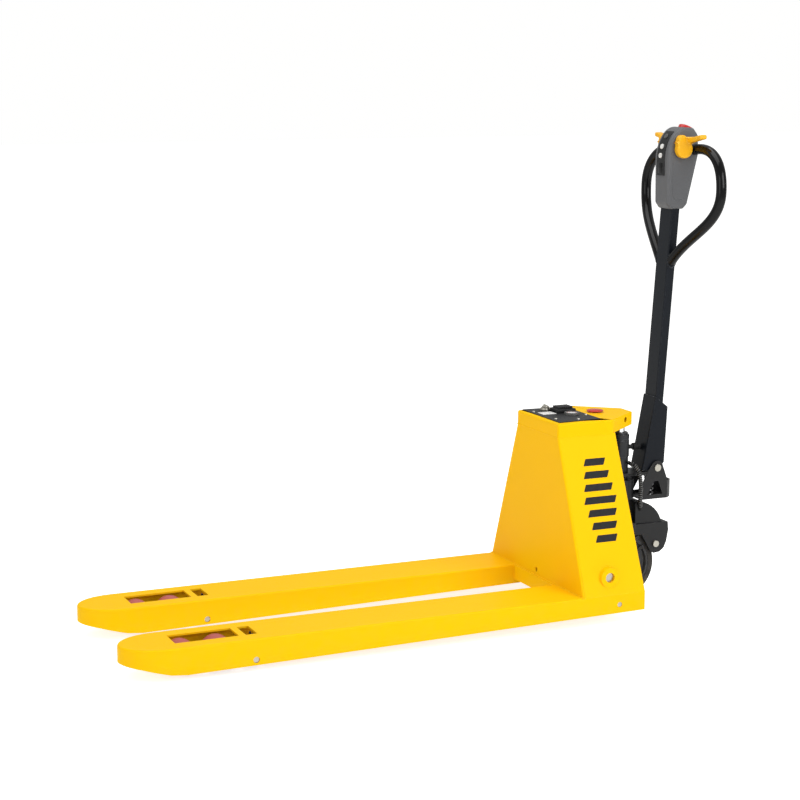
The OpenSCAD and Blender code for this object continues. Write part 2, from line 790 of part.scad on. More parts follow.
// Wrapped cable from the column down into the hood.
module loom() {
    path = [[268, -26, 378], [278, -42, 372], [286, -52, 357], [290, -56, 336], [291, -57, 314],
        [291, -56, 292], [293, -52, 272], [297, -46, 257], [300, -41, 246]];
    color("#3b3d40") placed() tube_along(path, 6, 10);
}

// --- Tiller ---

module tiller_side() {
    polygon(concat([[308, 353], [323, 432], [346, 556], [385, 526], [377, 372]],
        arc(pivot_x, tiller_z, 20, 20, -160, 10)));
}

module tiller_bracket() {
    half = bracket_w / 2;
    color("#2f3439") placed() difference() {
        union() {
            slabs(half - bracket_t, half) tiller_side();
            slab(-half, half) polygon([[308, 353], [323, 432], [346, 556], [350, 553],
                [327, 431], [312, 353]]);
            slab(-half, half) polygon([[346, 556], [385, 526], [384, 521], [345, 551]]);
        }
        bar_y(pivot_x, tiller_z, pivot_r + run_fit, -half - 1, half + 1);
        translate([stem_x(540), 0, 540]) rotate([0, stem_lean, 0])
            cube([stem_d, stem_w, 120], center = true);
    }
}

// Middle of the stem at a given height.
function stem_x(z) = 398 - (1065 - z) * tan(stem_lean);

module tiller_stem() {
    z0 = 480;
    long = (stem_top - z0) / cos(stem_lean);
    color("#2f3439") placed() translate([stem_x(z0), 0, z0]) rotate([0, stem_lean, 0])
        difference() {
            translate([-stem_d / 2, -stem_w / 2, 0]) cube([stem_d, stem_w, long]);
            translate([-stem_d / 2 + 3, -stem_w / 2 + 3, -1])
                cube([stem_d - 6, stem_w - 6, long - 10]);
        }
}

module handle_loop() {
    half = loop_w / 2;
    top = [head_rear - loop_d / 2 - 1, head_w / 2 - 2, 1224];
    wide = [436, half, 1120];
    foot = [stem_x(925), stem_w / 2 - 2, 925];
    steps = 14;
    upper = [top, top + [0, 90, 16], wide + [2, 0, 80], wide];
    lower = [wide, wide - [2, 0, 90], foot + [10, 70, 80], foot];
    path = concat([for (i = [0:steps]) bezier(upper, i / steps)],
        [for (i = [1:steps]) bezier(lower, i / steps)]);
    color("#101112") placed() for (s = [0, 1]) mirror([0, s, 0]) tube_along(path, loop_d / 2, 12);
}

// Point on the curved part of the head's front, drawn in by inset.
function face_point(t, inset = 0) =
    [front_x + face_a - (face_a - inset) * cos(t), face_z + (face_b - inset) * sin(t)];

// Side outline of the control head, drawn in by inset.
module head_plan(inset) {
    polygon(concat([for (t = [0:5:90]) face_point(t, inset)], [
        [head_rear - 18 - inset / 2, 1283 - inset], [head_rear - 3 - inset, 1264 - inset / 2],
        [head_rear - inset, 1215], [head_rear - 33 - inset, 1078 + inset / 2],
        [head_rear - 45 - inset / 2, 1066 + inset], [front_x + 14 + inset / 2, 1066 + inset],
        [front_x + 2 + inset, 1082 + inset / 2]]));
}

// Puts its children at angle t on the front curve, with +Z pointing into the head.
module on_face(t) {
    p = face_point(t);
    translate([p[0], 0, p[1]]) rotate([0, atan2(cos(t) / face_a, -sin(t) / face_b), 0]) children();
}

// Puts its children on the leaning axis of the belly button.
module on_belly() {
    translate([belly_at[0], 0, belly_at[1]]) rotate([0, belly_tilt, 0]) children();
}

module head_shell() {
    half = head_w / 2;
    wall = 3;
    color("#6c6f73") placed() difference() {
        slab(-half, half) head_plan(0);
        slab(-half + wall, half - wall) head_plan(wall);
        translate([stem_x(1066), 0, 1066]) rotate([0, stem_lean, 0])
            cube([stem_d + 0.2, stem_w + 0.2, 60], center = true);
        bar_y(throttle_x, throttle_z, throttle_r + run_fit, -half - 1, half + 1);
        for (t = face_buttons) on_face(t) translate([0, 0, -6]) cylinder(r = 7 + run_fit, h = 20);
        on_belly() translate([0, 0, -2]) cylinder(r = belly_r + run_fit, h = 40);
    }
}

module control_strip() {
    seat = 0.05;
    proud = 2;
    color("#17181a") placed() difference() {
        slab(-19, 19) polygon(concat([[front_x - proud, 1156]],
            [for (t = [0:5:60]) face_point(t, -proud)], [for (t = [60:-5:0]) face_point(t, -seat)],
            [[front_x - seat, 1156]]));
        for (t = face_buttons) on_face(t) translate([0, 0, -6]) cylinder(r = 7 + run_fit, h = 20);
    }
}

module face_button(i) {
    color("white") placed() on_face(face_buttons[i]) translate([0, 0, -5]) cylinder(r = 7, h = 16);
}
module button_down() { face_button(0); }
module button_up() { face_button(1); }
module button_horn() { face_button(2); }

module belly_button() {
    color("red") placed() on_belly() {
        translate([0, 0, 4]) cylinder(r = belly_r, h = 20);
        translate([0, 0, 23]) rotate_extrude() polygon(concat([[0, 0]], [[belly_r, 0]],
            arc(0, -38, 44.3, 60.5, 90, 5)));
    }
}

module throttle_lever() {
    half = head_w / 2;
    knob_t = 20;
    wing_len = 80;
    axis = [throttle_x, throttle_z];
    color("gold") placed() {
        bar_y(throttle_x, throttle_z, throttle_r, -half - 8, half + 8);
        slabs(half + gap, half + knob_t) link(axis, axis + [-7, 24], 24, 14, 36);
        for (s = [-1, 1]) translate([throttle_x + 5, s * (half + 6), throttle_z + 14])
            rotate([s * 11, 0, 0]) translate([0, s < 0 ? -wing_len : 0, 0]) cube([22, wing_len, 12]);
    }
}

fork_left();
fork_right();
cross_member();
front_plate();
side_plate_left();
side_plate_right();
top_plate();
rear_bracket();
equipment_tray();
rocker_shaft();
leg_pins();
battery_pack();
motor_controller();
hydraulic_tank();
pump_motor();
top_panel();
panel_screws();
power_connector();
battery_gauge();
key_switch();
key();
estop_collar();
estop_button();
lift_ram();
rocker();
push_rod_left();
push_rod_right();
leg_left();
leg_right();
bogie_left();
bogie_right();
roller_left_front();
roller_left_rear();
roller_right_front();
roller_right_rear();
carriage();
steer_column();
gland();
drive_yoke();
gearbox();
traction_motor();
motor_hood();
pivot_bracket();
pivot_pins();
return_spring();
loom();
bumper();
wheel_axle();
drive_tyre();
drive_hub();
tiller_bracket();
tiller_stem();
handle_loop();
head_shell();
control_strip();
button_up();
button_down();
button_horn();
belly_button();
throttle_lever();
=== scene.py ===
"""Looks of the electric pallet truck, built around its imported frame.

Every sub-assembly is a class that models its pieces, dresses them in their finish and hangs
them on the body that carries them. All sizes are in metres, in the truck's own frame.
"""

import json
import logging
import math
from contextlib import contextmanager
from dataclasses import dataclass, field
from enum import Enum
from typing import Callable, Iterator, Sequence

import bmesh
import bpy
from mathutils import Matrix, Vector

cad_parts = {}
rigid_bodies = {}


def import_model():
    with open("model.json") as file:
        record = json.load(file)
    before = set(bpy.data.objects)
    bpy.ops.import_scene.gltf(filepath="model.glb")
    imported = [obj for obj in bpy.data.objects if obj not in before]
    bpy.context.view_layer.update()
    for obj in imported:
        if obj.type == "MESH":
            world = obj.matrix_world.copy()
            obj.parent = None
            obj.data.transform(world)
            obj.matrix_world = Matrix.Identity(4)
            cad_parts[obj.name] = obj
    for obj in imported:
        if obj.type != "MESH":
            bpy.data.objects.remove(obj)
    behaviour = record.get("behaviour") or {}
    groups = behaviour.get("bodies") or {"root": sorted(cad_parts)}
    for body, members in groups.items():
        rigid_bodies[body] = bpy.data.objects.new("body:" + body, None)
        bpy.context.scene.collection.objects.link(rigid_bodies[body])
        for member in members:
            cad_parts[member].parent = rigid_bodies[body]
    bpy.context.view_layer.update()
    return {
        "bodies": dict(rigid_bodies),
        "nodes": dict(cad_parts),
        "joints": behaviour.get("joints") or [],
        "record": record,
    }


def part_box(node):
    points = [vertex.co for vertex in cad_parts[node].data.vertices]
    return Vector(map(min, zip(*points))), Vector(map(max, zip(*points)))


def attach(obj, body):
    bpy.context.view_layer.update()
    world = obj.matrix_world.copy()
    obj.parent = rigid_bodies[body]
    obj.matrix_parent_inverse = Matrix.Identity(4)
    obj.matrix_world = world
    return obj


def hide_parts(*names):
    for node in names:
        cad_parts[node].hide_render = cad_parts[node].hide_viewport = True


log = logging.getLogger("pallet_truck")

MM = 0.001
Point = tuple[float, float, float]
Piece = bpy.types.Object
Rule = Callable[[Vector, Vector], float]


# --- Finishes -----------------------------------------------------------------------------


class Surface(Enum):
    """What a finish is made of."""

    PAINT = "paint"
    METAL = "metal"
    PLASTIC = "plastic"
    RUBBER = "rubber"


@dataclass(frozen=True)
class Finish:
    """One finish of the truck.

    Attributes:
        surface: The kind of surface.
        colour: Base colour, linear.
        roughness: Mean roughness.
        metallic: Share of bare metal.
        coat: Weight of the clear coat.
        grain: Depth of the grain, in metres.
        grain_size: Width of one grain, in metres.
        tone: How far the colour drifts over the surface.
        wear: How strongly rounded edges are lightened: a painted highlight, broken by
            noise like rubbed paint.
        wear_and_highlight_colour: Colour of a lightened edge: a painted highlight and rubbed
            paint.
        dust: How much dust lies near the floor.
        brushed: How far the grain is drawn out along the height.
        gloss: Strength of the surface's own reflection.
    """

    surface: Surface
    colour: Point
    roughness: float
    metallic: float = 0.0
    coat: float = 0.0
    grain: float = 0.00002
    grain_size: float = 0.0012
    tone: float = 0.06
    wear: float = 0.3
    wear_and_highlight_colour: Point = (0.55, 0.55, 0.54)
    dust: float = 0.15
    brushed: float = 1.0
    gloss: float = 0.3


# The edge colour of each finish is lighter than its base: a painted highlight on rounded edges,
# with rubbed paint.
FINISHES: dict[str, Finish] = {
    "yellow_paint": Finish(Surface.PAINT, (0.97, 0.555, 0.0008), 0.46, coat=0.0, grain=0.00003,
                           grain_size=0.0022, tone=0.015, wear=0.10, wear_and_highlight_colour=(0.98, 0.70, 0.12),
                           dust=0.05, gloss=0.05),
    "black_paint": Finish(Surface.PAINT, (0.013, 0.0132, 0.014), 0.44, coat=0.05, grain=0.00005,
                          grain_size=0.0016, wear=0.35, wear_and_highlight_colour=(0.16, 0.16, 0.165), dust=0.22),
    "slate_paint": Finish(Surface.PAINT, (0.0070, 0.0092, 0.0135), 0.40, grain=0.00004,
                          grain_size=0.0014, wear=0.30, wear_and_highlight_colour=(0.20, 0.21, 0.23), dust=0.10,
                          gloss=0.16),
    "gloss_black": Finish(Surface.PAINT, (0.0025, 0.0025, 0.0030), 0.14, grain=0.00001,
                          grain_size=0.004, tone=0.03, wear=0.10, wear_and_highlight_colour=(0.05, 0.05, 0.05),
                          dust=0.05, gloss=0.22),
    "zinc_steel": Finish(Surface.METAL, (0.60, 0.575, 0.50), 0.32, metallic=1.0, grain=0.00002,
                         grain_size=0.0009, tone=0.12, wear=0.2, wear_and_highlight_colour=(0.85, 0.84, 0.82)),
    "spring_steel": Finish(Surface.METAL, (0.46, 0.46, 0.47), 0.34, metallic=1.0, grain=0.00002,
                           grain_size=0.0008, tone=0.15, wear=0.2, wear_and_highlight_colour=(0.7, 0.7, 0.7)),
    "chrome": Finish(Surface.METAL, (0.85, 0.86, 0.88), 0.09, metallic=1.0, grain=0.000004,
                     grain_size=0.0006, tone=0.03, wear=0.0, dust=0.02),
    "column_steel": Finish(Surface.METAL, (0.05, 0.052, 0.056), 0.38, metallic=0.6,
                           grain=0.00004, grain_size=0.0012, tone=0.18, wear=0.4,
                           wear_and_highlight_colour=(0.30, 0.30, 0.31), dust=0.18),
    "red_polyurethane": Finish(Surface.RUBBER, (0.56, 0.115, 0.105), 0.46, grain=0.00006,
                               grain_size=0.0018, tone=0.14, wear=0.25,
                               wear_and_highlight_colour=(0.68, 0.24, 0.21), dust=0.25),
    "tyre_polyurethane": Finish(Surface.RUBBER, (0.030, 0.026, 0.023), 0.55, grain=0.00008,
                                grain_size=0.0020, tone=0.16, wear=0.3,
                                wear_and_highlight_colour=(0.10, 0.095, 0.09), dust=0.35),
    "cast_metal": Finish(Surface.METAL, (0.055, 0.056, 0.058), 0.52, metallic=0.4, grain=0.00012,
                         grain_size=0.0016, tone=0.16, wear=0.45, wear_and_highlight_colour=(0.55, 0.55, 0.56),
                         dust=0.22),
    "motor_grey": Finish(Surface.PAINT, (0.088, 0.086, 0.082), 0.50, grain=0.00008,
                         grain_size=0.0014, tone=0.12, wear=0.3, dust=0.22),
    "black_plastic": Finish(Surface.PLASTIC, (0.012, 0.0125, 0.0135), 0.44, grain=0.00006,
                            grain_size=0.0007, tone=0.08, wear=0.2, wear_and_highlight_colour=(0.05, 0.05, 0.052),
                            dust=0.14),
    "black_rubber": Finish(Surface.RUBBER, (0.010, 0.010, 0.0105), 0.62, grain=0.00008,
                           grain_size=0.0009, tone=0.12, wear=0.2, wear_and_highlight_colour=(0.04, 0.04, 0.04),
                           dust=0.22),
    "grey_plastic": Finish(Surface.PLASTIC, (0.120, 0.122, 0.128), 0.48, grain=0.00007,
                           grain_size=0.0008, tone=0.06, wear=0.15, wear_and_highlight_colour=(0.22, 0.22, 0.225),
                           dust=0.08),
    "yellow_plastic": Finish(Surface.PLASTIC, (0.92, 0.46, 0.006), 0.36, coat=0.1,
                             grain=0.00003, grain_size=0.0008, tone=0.07, wear=0.12,
                             wear_and_highlight_colour=(0.97, 0.66, 0.10), dust=0.05),
    "red_plastic": Finish(Surface.PLASTIC, (0.56, 0.020, 0.016), 0.30, coat=0.25,
                          grain=0.00002, grain_size=0.0008, tone=0.07, wear=0.12,
                          wear_and_highlight_colour=(0.72, 0.12, 0.09), dust=0.05),
    "white_plastic": Finish(Surface.PLASTIC, (0.78, 0.77, 0.75), 0.36, grain=0.00002,
                            grain_size=0.0007, tone=0.05, wear=0.1, wear_and_highlight_colour=(0.85, 0.84, 0.82),
                            dust=0.06),
}


@dataclass(frozen=True)
class Effect:
    """A shader node group that several finishes share, with its sockets named once."""

    name: str
    inputs: tuple[tuple[str, str, object], ...]
    outputs: tuple[tuple[str, str], ...]

    def open(self) -> tuple[bpy.types.NodeTree, bpy.types.Node, bpy.types.Node]:
        """Makes the empty group.

        Returns:
            The group's tree, its input node and its output node.
        """
        tree = bpy.data.node_groups.new(self.name, "ShaderNodeTree")
        for name, kind, value in self.inputs:
            socket = tree.interface.new_socket(name=name, in_out="INPUT", socket_type=kind)
            if value is not None:
                socket.default_value = value
        for name, kind in self.outputs:
            tree.interface.new_socket(name=name, in_out="OUTPUT", socket_type=kind)
        return tree, tree.nodes.new("NodeGroupInput"), tree.nodes.new("NodeGroupOutput")


class PaintShop:
    """Builds the shared effects once and mixes every finish from them."""

    def __init__(self) -> None:
        """Builds the node groups."""
        self.grain = self._grain_effect()
        self.edge = self._edge_highlight_and_wear_effect()
        self.dust = self._dust_effect()
        self.mixed: dict[str, bpy.types.Material] = {}

    @staticmethod
    def _math(tree: bpy.types.NodeTree, operation: str, *sources: object) -> bpy.types.Node:
        """Adds a Math node.

        Args:
            tree: The tree it goes into.
            operation: The node's operation.
            *sources: A socket to link or a number to set, for each input in turn.

        Returns:
            The node.
        """
        node = tree.nodes.new("ShaderNodeMath")
        node.operation = operation
        for index, source in enumerate(sources):
            if isinstance(source, (int, float)):
                node.inputs[index].default_value = source
            else:
                tree.links.new(source, node.inputs[index])
        return node

    def _grain_effect(self) -> bpy.types.NodeTree:
        """Builds the grain: a fine height and a slow drift, both from the piece's own place.

        Returns:
            The group's tree.
        """
        effect = Effect(
            "surface_grain",
            (("Size", "NodeSocketFloat", 0.001), ("Stretch", "NodeSocketFloat", 1.0)),
            (("Height", "NodeSocketFloat"), ("Drift", "NodeSocketFloat"),
             ("Fleck", "NodeSocketFloat")),
        )
        tree, given, result = effect.open()
        place = tree.nodes.new("ShaderNodeTexCoord")
        squeeze = tree.nodes.new("ShaderNodeCombineXYZ")
        squeeze.inputs[0].default_value = 1.0
        squeeze.inputs[1].default_value = 1.0
        flat = self._math(tree, "DIVIDE", 1.0, given.outputs["Stretch"])
        tree.links.new(flat.outputs[0], squeeze.inputs[2])
        drawn = tree.nodes.new("ShaderNodeVectorMath")
        drawn.operation = "MULTIPLY"
        tree.links.new(place.outputs["Object"], drawn.inputs[0])
        tree.links.new(squeeze.outputs[0], drawn.inputs[1])
        pitch = self._math(tree, "DIVIDE", 1.0, given.outputs["Size"])
        fine = tree.nodes.new("ShaderNodeTexNoise")
        fine.inputs["Detail"].default_value = 3.0
        fine.inputs["Roughness"].default_value = 0.55
        tree.links.new(drawn.outputs[0], fine.inputs["Vector"])
        tree.links.new(pitch.outputs[0], fine.inputs["Scale"])
        slow = tree.nodes.new("ShaderNodeTexNoise")
        slow.inputs["Scale"].default_value = 9.0
        slow.inputs["Detail"].default_value = 4.0
        tree.links.new(place.outputs["Object"], slow.inputs["Vector"])
        cells = tree.nodes.new("ShaderNodeTexNoise")
        cells.inputs["Scale"].default_value = 140.0
        cells.inputs["Detail"].default_value = 2.0
        tree.links.new(drawn.outputs[0], cells.inputs["Vector"])
        tree.links.new(fine.outputs["Fac"], result.inputs["Height"])
        tree.links.new(slow.outputs["Fac"], result.inputs["Drift"])
        tree.links.new(cells.outputs["Fac"], result.inputs["Fleck"])
        return tree

    def _edge_highlight_and_wear_effect(self) -> bpy.types.NodeTree:
        """Builds the edge mask: a painted highlight where a rounded normal leaves the true one,
        broken by noise like rubbed paint.

        Returns:
            The group's tree.
        """
        effect = Effect(
            "edge_highlight_and_wear",
            (("Radius", "NodeSocketFloat", 0.002), ("Amount", "NodeSocketFloat", 0.3)),
            (("Mask", "NodeSocketFloat"),),
        )
        tree, given, result = effect.open()
        place = tree.nodes.new("ShaderNodeTexCoord")
        round_over = tree.nodes.new("ShaderNodeBevel")
        round_over.samples = 4
        tree.links.new(given.outputs["Radius"], round_over.inputs["Radius"])
        true = tree.nodes.new("ShaderNodeNewGeometry")
        align = tree.nodes.new("ShaderNodeVectorMath")
        align.operation = "DOT_PRODUCT"
        tree.links.new(round_over.outputs["Normal"], align.inputs[0])
        tree.links.new(true.outputs["True Normal"], align.inputs[1])
        bend = self._math(tree, "SUBTRACT", 1.0, align.outputs["Value"])
        sharp = self._math(tree, "MULTIPLY", bend.outputs[0], 9.0)
        chips = tree.nodes.new("ShaderNodeTexNoise")
        chips.inputs["Scale"].default_value = 95.0
        chips.inputs["Detail"].default_value = 6.0
        tree.links.new(place.outputs["Object"], chips.inputs["Vector"])
        broken = self._math(tree, "SUBTRACT", chips.outputs["Fac"], 0.40)
        broken = self._math(tree, "MULTIPLY", broken.outputs[0], 5.0)
        broken.use_clamp = True
        # Lightens rounded edges: a painted highlight, broken by noise like rubbed paint.
        lit_and_rubbed = self._math(tree, "MULTIPLY", sharp.outputs[0], broken.outputs[0])
        lit_and_rubbed = self._math(tree, "MULTIPLY", lit_and_rubbed.outputs[0], given.outputs["Amount"])
        lit_and_rubbed.use_clamp = True
        tree.links.new(lit_and_rubbed.outputs[0], result.inputs["Mask"])
        return tree

    def _dust_effect(self) -> bpy.types.NodeTree:
        """Builds the dust, which gathers low down.

        Returns:
            The group's tree.
        """
        effect = Effect(
            "floor_dust",
            (("Amount", "NodeSocketFloat", 0.2), ("Reach", "NodeSocketFloat", 0.12)),
            (("Mask", "NodeSocketFloat"),),
        )
        tree, given, result = effect.open()
        place = tree.nodes.new("ShaderNodeTexCoord")
        split = tree.nodes.new("ShaderNodeSeparateXYZ")
        tree.links.new(place.outputs["Object"], split.inputs[0])
        share = self._math(tree, "DIVIDE", split.outputs["Z"], given.outputs["Reach"])
        low = self._math(tree, "SUBTRACT", 1.0, share.outputs[0])
        low.use_clamp = True
        speck = tree.nodes.new("ShaderNodeTexNoise")
        speck.inputs["Scale"].default_value = 45.0
        speck.inputs["Detail"].default_value = 7.0
        tree.links.new(place.outputs["Object"], speck.inputs["Vector"])
        patch = self._math(tree, "SUBTRACT", speck.outputs["Fac"], 0.35)
        patch = self._math(tree, "MULTIPLY", patch.outputs[0], 2.4)
        patch.use_clamp = True
        lying = self._math(tree, "MULTIPLY", low.outputs[0], patch.outputs[0])
        lying = self._math(tree, "MULTIPLY", lying.outputs[0], given.outputs["Amount"])
        tree.links.new(lying.outputs[0], result.inputs["Mask"])
        return tree

    @staticmethod
    def _use(tree: bpy.types.NodeTree, group: bpy.types.NodeTree,
             **values: float) -> bpy.types.Node:
        """Places a shared effect in a material.

        Args:
            tree: The material's tree.
            group: The effect.
            **values: Its input values, with underscores for spaces.

        Returns:
            The group node.
        """
        node = tree.nodes.new("ShaderNodeGroup")
        node.node_tree = group
        for name, value in values.items():
            node.inputs[name.replace("_", " ")].default_value = value
        return node

    @staticmethod
    def _blend(tree: bpy.types.NodeTree, fac: object, first: object,
               second: Point) -> bpy.types.Node:
        """Adds a colour mix.

        Args:
            tree: The tree it goes into.
            fac: The mask's socket.
            first: A colour, or the socket of the colour below.
            second: The colour laid over it.

        Returns:
            The Mix node.
        """
        node = tree.nodes.new("ShaderNodeMix")
        node.data_type = "RGBA"
        tree.links.new(fac, node.inputs["Factor"])
        below, above = node.inputs[6], node.inputs[7]
        if isinstance(first, tuple):
            below.default_value = (*first, 1.0)
        else:
            tree.links.new(first, below)
        above.default_value = (*second, 1.0)
        return node

    def mix(self, slot: str) -> bpy.types.Material:
        """Mixes a finish, once.

        Args:
            slot: The record's material slot.

        Returns:
            The material.
        """
        if slot in self.mixed:
            return self.mixed[slot]
        finish = FINISHES[slot]
        material = bpy.data.materials.new(f"finish_{slot}")
        material.use_nodes = True
        tree = material.node_tree
        shader = tree.nodes["Principled BSDF"]
        shader.inputs["Metallic"].default_value = finish.metallic
        shader.inputs["Specular IOR Level"].default_value = finish.gloss
        shader.inputs["Coat Weight"].default_value = finish.coat
        shader.inputs["Coat Roughness"].default_value = 0.12
        grain = self._use(tree, self.grain, Size=finish.grain_size, Stretch=finish.brushed)
        edge = self._use(tree, self.edge, Radius=0.0018, Amount=finish.wear)
        dust = self._use(tree, self.dust, Amount=finish.dust, Reach=0.14)
        darker = tuple(channel * (1.0 - 2.2 * finish.tone) for channel in finish.colour)
        colour = self._blend(tree, grain.outputs["Drift"], finish.colour, darker)
        # Lays the lighter edge colour: a painted highlight on rounded edges, with rubbed paint.
        colour = self._blend(tree, edge.outputs["Mask"], colour.outputs[2], finish.wear_and_highlight_colour)
        colour = self._blend(tree, dust.outputs["Mask"], colour.outputs[2], (0.30, 0.27, 0.23))
        tree.links.new(colour.outputs[2], shader.inputs["Base Color"])
        shift = self._math(tree, "SUBTRACT", grain.outputs["Fleck"], 0.5)
        shift = self._math(tree, "MULTIPLY", shift.outputs[0], 0.16 + finish.tone)
        rough = self._math(tree, "ADD", shift.outputs[0], finish.roughness)
        gritty = self._math(tree, "MULTIPLY", dust.outputs["Mask"], 0.4)
        rough = self._math(tree, "ADD", rough.outputs[0], gritty.outputs[0])
        rough.use_clamp = True
        tree.links.new(rough.outputs[0], shader.inputs["Roughness"])
        relief = tree.nodes.new("ShaderNodeBump")
        relief.inputs["Strength"].default_value = 0.6
        relief.inputs["Distance"].default_value = finish.grain
        tree.links.new(grain.outputs["Height"], relief.inputs["Height"])
        tree.links.new(relief.outputs["Normal"], shader.inputs["Normal"])
        self.mixed[slot] = material
        return material


# --- Bench tools --------------------------------------------------------------------------


def clear_selection() -> None:
    """Leaves nothing selected, in object mode."""
    if bpy.context.mode != "OBJECT":
        bpy.ops.object.mode_set(mode="OBJECT")
    bpy.ops.object.select_all(action="DESELECT")


def activate(*pieces: Piece) -> None:
    """Selects these pieces only, and makes the first one active."""
    clear_selection()
    for piece in pieces:
        piece.select_set(True)
    bpy.context.view_layer.objects.active = pieces[0]


@contextmanager
def editing(piece: Piece, mode: str = "FACE") -> Iterator[bmesh.types.BMesh]:
    """Opens a piece in edit mode with nothing selected.

    Args:
        piece: The piece.
        mode: The selection mode: VERT, EDGE or FACE.

    Yields:
        The mesh being edited.
    """
    activate(piece)
    bpy.ops.object.mode_set(mode="EDIT")
    bpy.ops.mesh.select_mode(type=mode)
    bpy.ops.mesh.select_all(action="DESELECT")
    mesh = bmesh.from_edit_mesh(piece.data)
    for items in (mesh.verts, mesh.edges, mesh.faces):
        items.ensure_lookup_table()
    yield mesh
    bpy.ops.object.mode_set(mode="OBJECT")


def settle(piece: Piece) -> Piece:
    """Moves a piece's place into its mesh, so that its object stands at the origin."""
    activate(piece)
    bpy.ops.object.transform_apply(location=True, rotation=True, scale=True)
    return piece


def apply_modifier(piece: Piece, kind: str, **settings: object) -> Piece:
    """Adds a modifier and applies it.

    Args:
        piece: The piece.
        kind: The modifier's type.
        **settings: Its properties.

    Returns:
        The piece.
    """
    modifier = piece.modifiers.new(kind.lower(), kind)
    for name, value in settings.items():
        setattr(modifier, name, value)
    activate(piece)
    bpy.ops.object.modifier_apply(modifier=modifier.name)
    return piece


def smooth(piece: Piece, angle: float = 32.0) -> Piece:
    """Shades a piece smooth below an angle in degrees."""
    activate(piece)
    bpy.ops.object.shade_smooth_by_angle(angle=math.radians(angle))
    return piece


def merge(piece: Piece, distance: float = 0.00001) -> Piece:
    """Merges a piece's doubled points and turns its faces outwards."""
    with editing(piece, "VERT"):
        bpy.ops.mesh.select_all(action="SELECT")
        bpy.ops.mesh.remove_doubles(threshold=distance)
        bpy.ops.mesh.normals_make_consistent(inside=False)
    return piece


def node_copy(nodes: dict[str, Piece], node: str, name: str) -> Piece:
    """Copies a node into a clean piece of its own.

    Args:
        nodes: The frame's nodes.
        node: The node's name.
        name: The new piece's name.

    Returns:
        The piece, merged, with flat faces whole again.
    """
    piece = bpy.data.objects.new(name, nodes[node].data.copy())
    bpy.context.scene.collection.objects.link(piece)
    piece.data.materials.clear()
    activate(piece)
    bpy.ops.mesh.customdata_custom_splitnormals_clear()
    with editing(piece, "VERT"):
        bpy.ops.mesh.select_all(action="SELECT")
        bpy.ops.mesh.remove_doubles(threshold=0.00001)
        bpy.ops.mesh.dissolve_limited(angle_limit=math.radians(0.6))
    return piece


def weigh_edges(piece: Piece, rule: Rule, angle: float = 25.0) -> Piece:
    """Gives each sharp edge a bevel weight.

    Args:
        piece: The piece.
        rule: Gives the weight from an edge's middle and its direction.
        angle: Edges that turn less than this, in degrees, weigh nothing.

    Returns:
        The piece.
    """
    with editing(piece, "EDGE") as mesh:
        name = "bevel_weight_edge"
        layer = mesh.edges.layers.float.get(name) or mesh.edges.layers.float.new(name)
        for edge in mesh.edges:
            turned = len(edge.link_faces) == 2 and edge.calc_face_angle(0.0) > math.radians(angle)
            first, second = edge.verts[0].co, edge.verts[1].co
            middle = (first + second) / 2
            edge[layer] = rule(middle, (second - first).normalized()) if turned else 0.0
        bmesh.update_edit_mesh(piece.data)
    return piece


def shade_cut(piece: Piece, angle: float = 30.0) -> Piece:
    """Shades a piece smooth below an angle, with its large faces kept flat."""
    smooth(piece, angle)
    return apply_modifier(piece, "WEIGHTED_NORMAL", mode="FACE_AREA", weight=80, keep_sharp=True)


def soften(piece: Piece, width: float, segments: int = 2, weighted: bool = False) -> Piece:
    """Rounds a piece's sharp edges.

    Args:
        piece: The piece.
        width: The rounding's width, or its greatest width when weighted.
        segments: How many faces go round an edge.
        weighted: Whether the edges' bevel weights count.

    Returns:
        The piece, shaded smooth.
    """
    apply_modifier(piece, "BEVEL", width=width, segments=segments, miter_outer="MITER_ARC",
                   limit_method="WEIGHT" if weighted else "ANGLE",
                   angle_limit=math.radians(34), use_clamp_overlap=False)
    return shade_cut(piece, 40.0)


def add_block(name: str, low: Sequence[float], high: Sequence[float], round_by: float = 0.001,
              segments: int = 3) -> Piece:
    """Models a block with rounded edges between two corners.

    Args:
        name: The piece's name.
        low: Its lowest corner.
        high: Its highest corner.
        round_by: Width of the edge rounding.
        segments: Faces round each edge.

    Returns:
        The piece.
    """
    clear_selection()
    centre = [(a + b) / 2 for a, b in zip(low, high)]
    bpy.ops.mesh.primitive_cube_add(size=1, location=centre)
    piece = bpy.context.object
    piece.name = name
    piece.scale = [b - a for a, b in zip(low, high)]
    settle(piece)
    with editing(piece, "EDGE"):
        bpy.ops.mesh.select_all(action="SELECT")
        bpy.ops.mesh.bevel(offset=round_by, segments=segments, affect="EDGES")
    return smooth(piece)


def prism(name: str, outline: Sequence[tuple[float, float]], low: float, high: float,
          along: int = 2) -> Piece:
    """Models a solid with the same outline all along one axis.

    Args:
        name: The piece's name.
        outline: Its outline in the two other axes, in their order.
        low: Where it starts.
        high: Where it ends.
        along: The axis it runs along: 0, 1 or 2.

    Returns:
        The piece.
    """
    clear_selection()
    bpy.ops.mesh.primitive_circle_add(vertices=len(outline), radius=1, fill_type="NOTHING")
    piece = bpy.context.object
    piece.name = name
    across = [axis for axis in range(3) if axis != along]
    rise = [0.0, 0.0, 0.0]
    rise[along] = high - low
    with editing(piece, "VERT") as mesh:
        for vert, spot in zip(mesh.verts, outline):
            vert.co[along] = low
            vert.co[across[0]], vert.co[across[1]] = spot
        bmesh.update_edit_mesh(piece.data)
        bpy.ops.mesh.select_all(action="SELECT")
        bpy.ops.mesh.edge_face_add()
        bpy.ops.mesh.extrude_region_move(TRANSFORM_OT_translate={"value": rise})
        bpy.ops.mesh.select_all(action="SELECT")
        bpy.ops.mesh.normals_make_consistent(inside=False)
    return piece


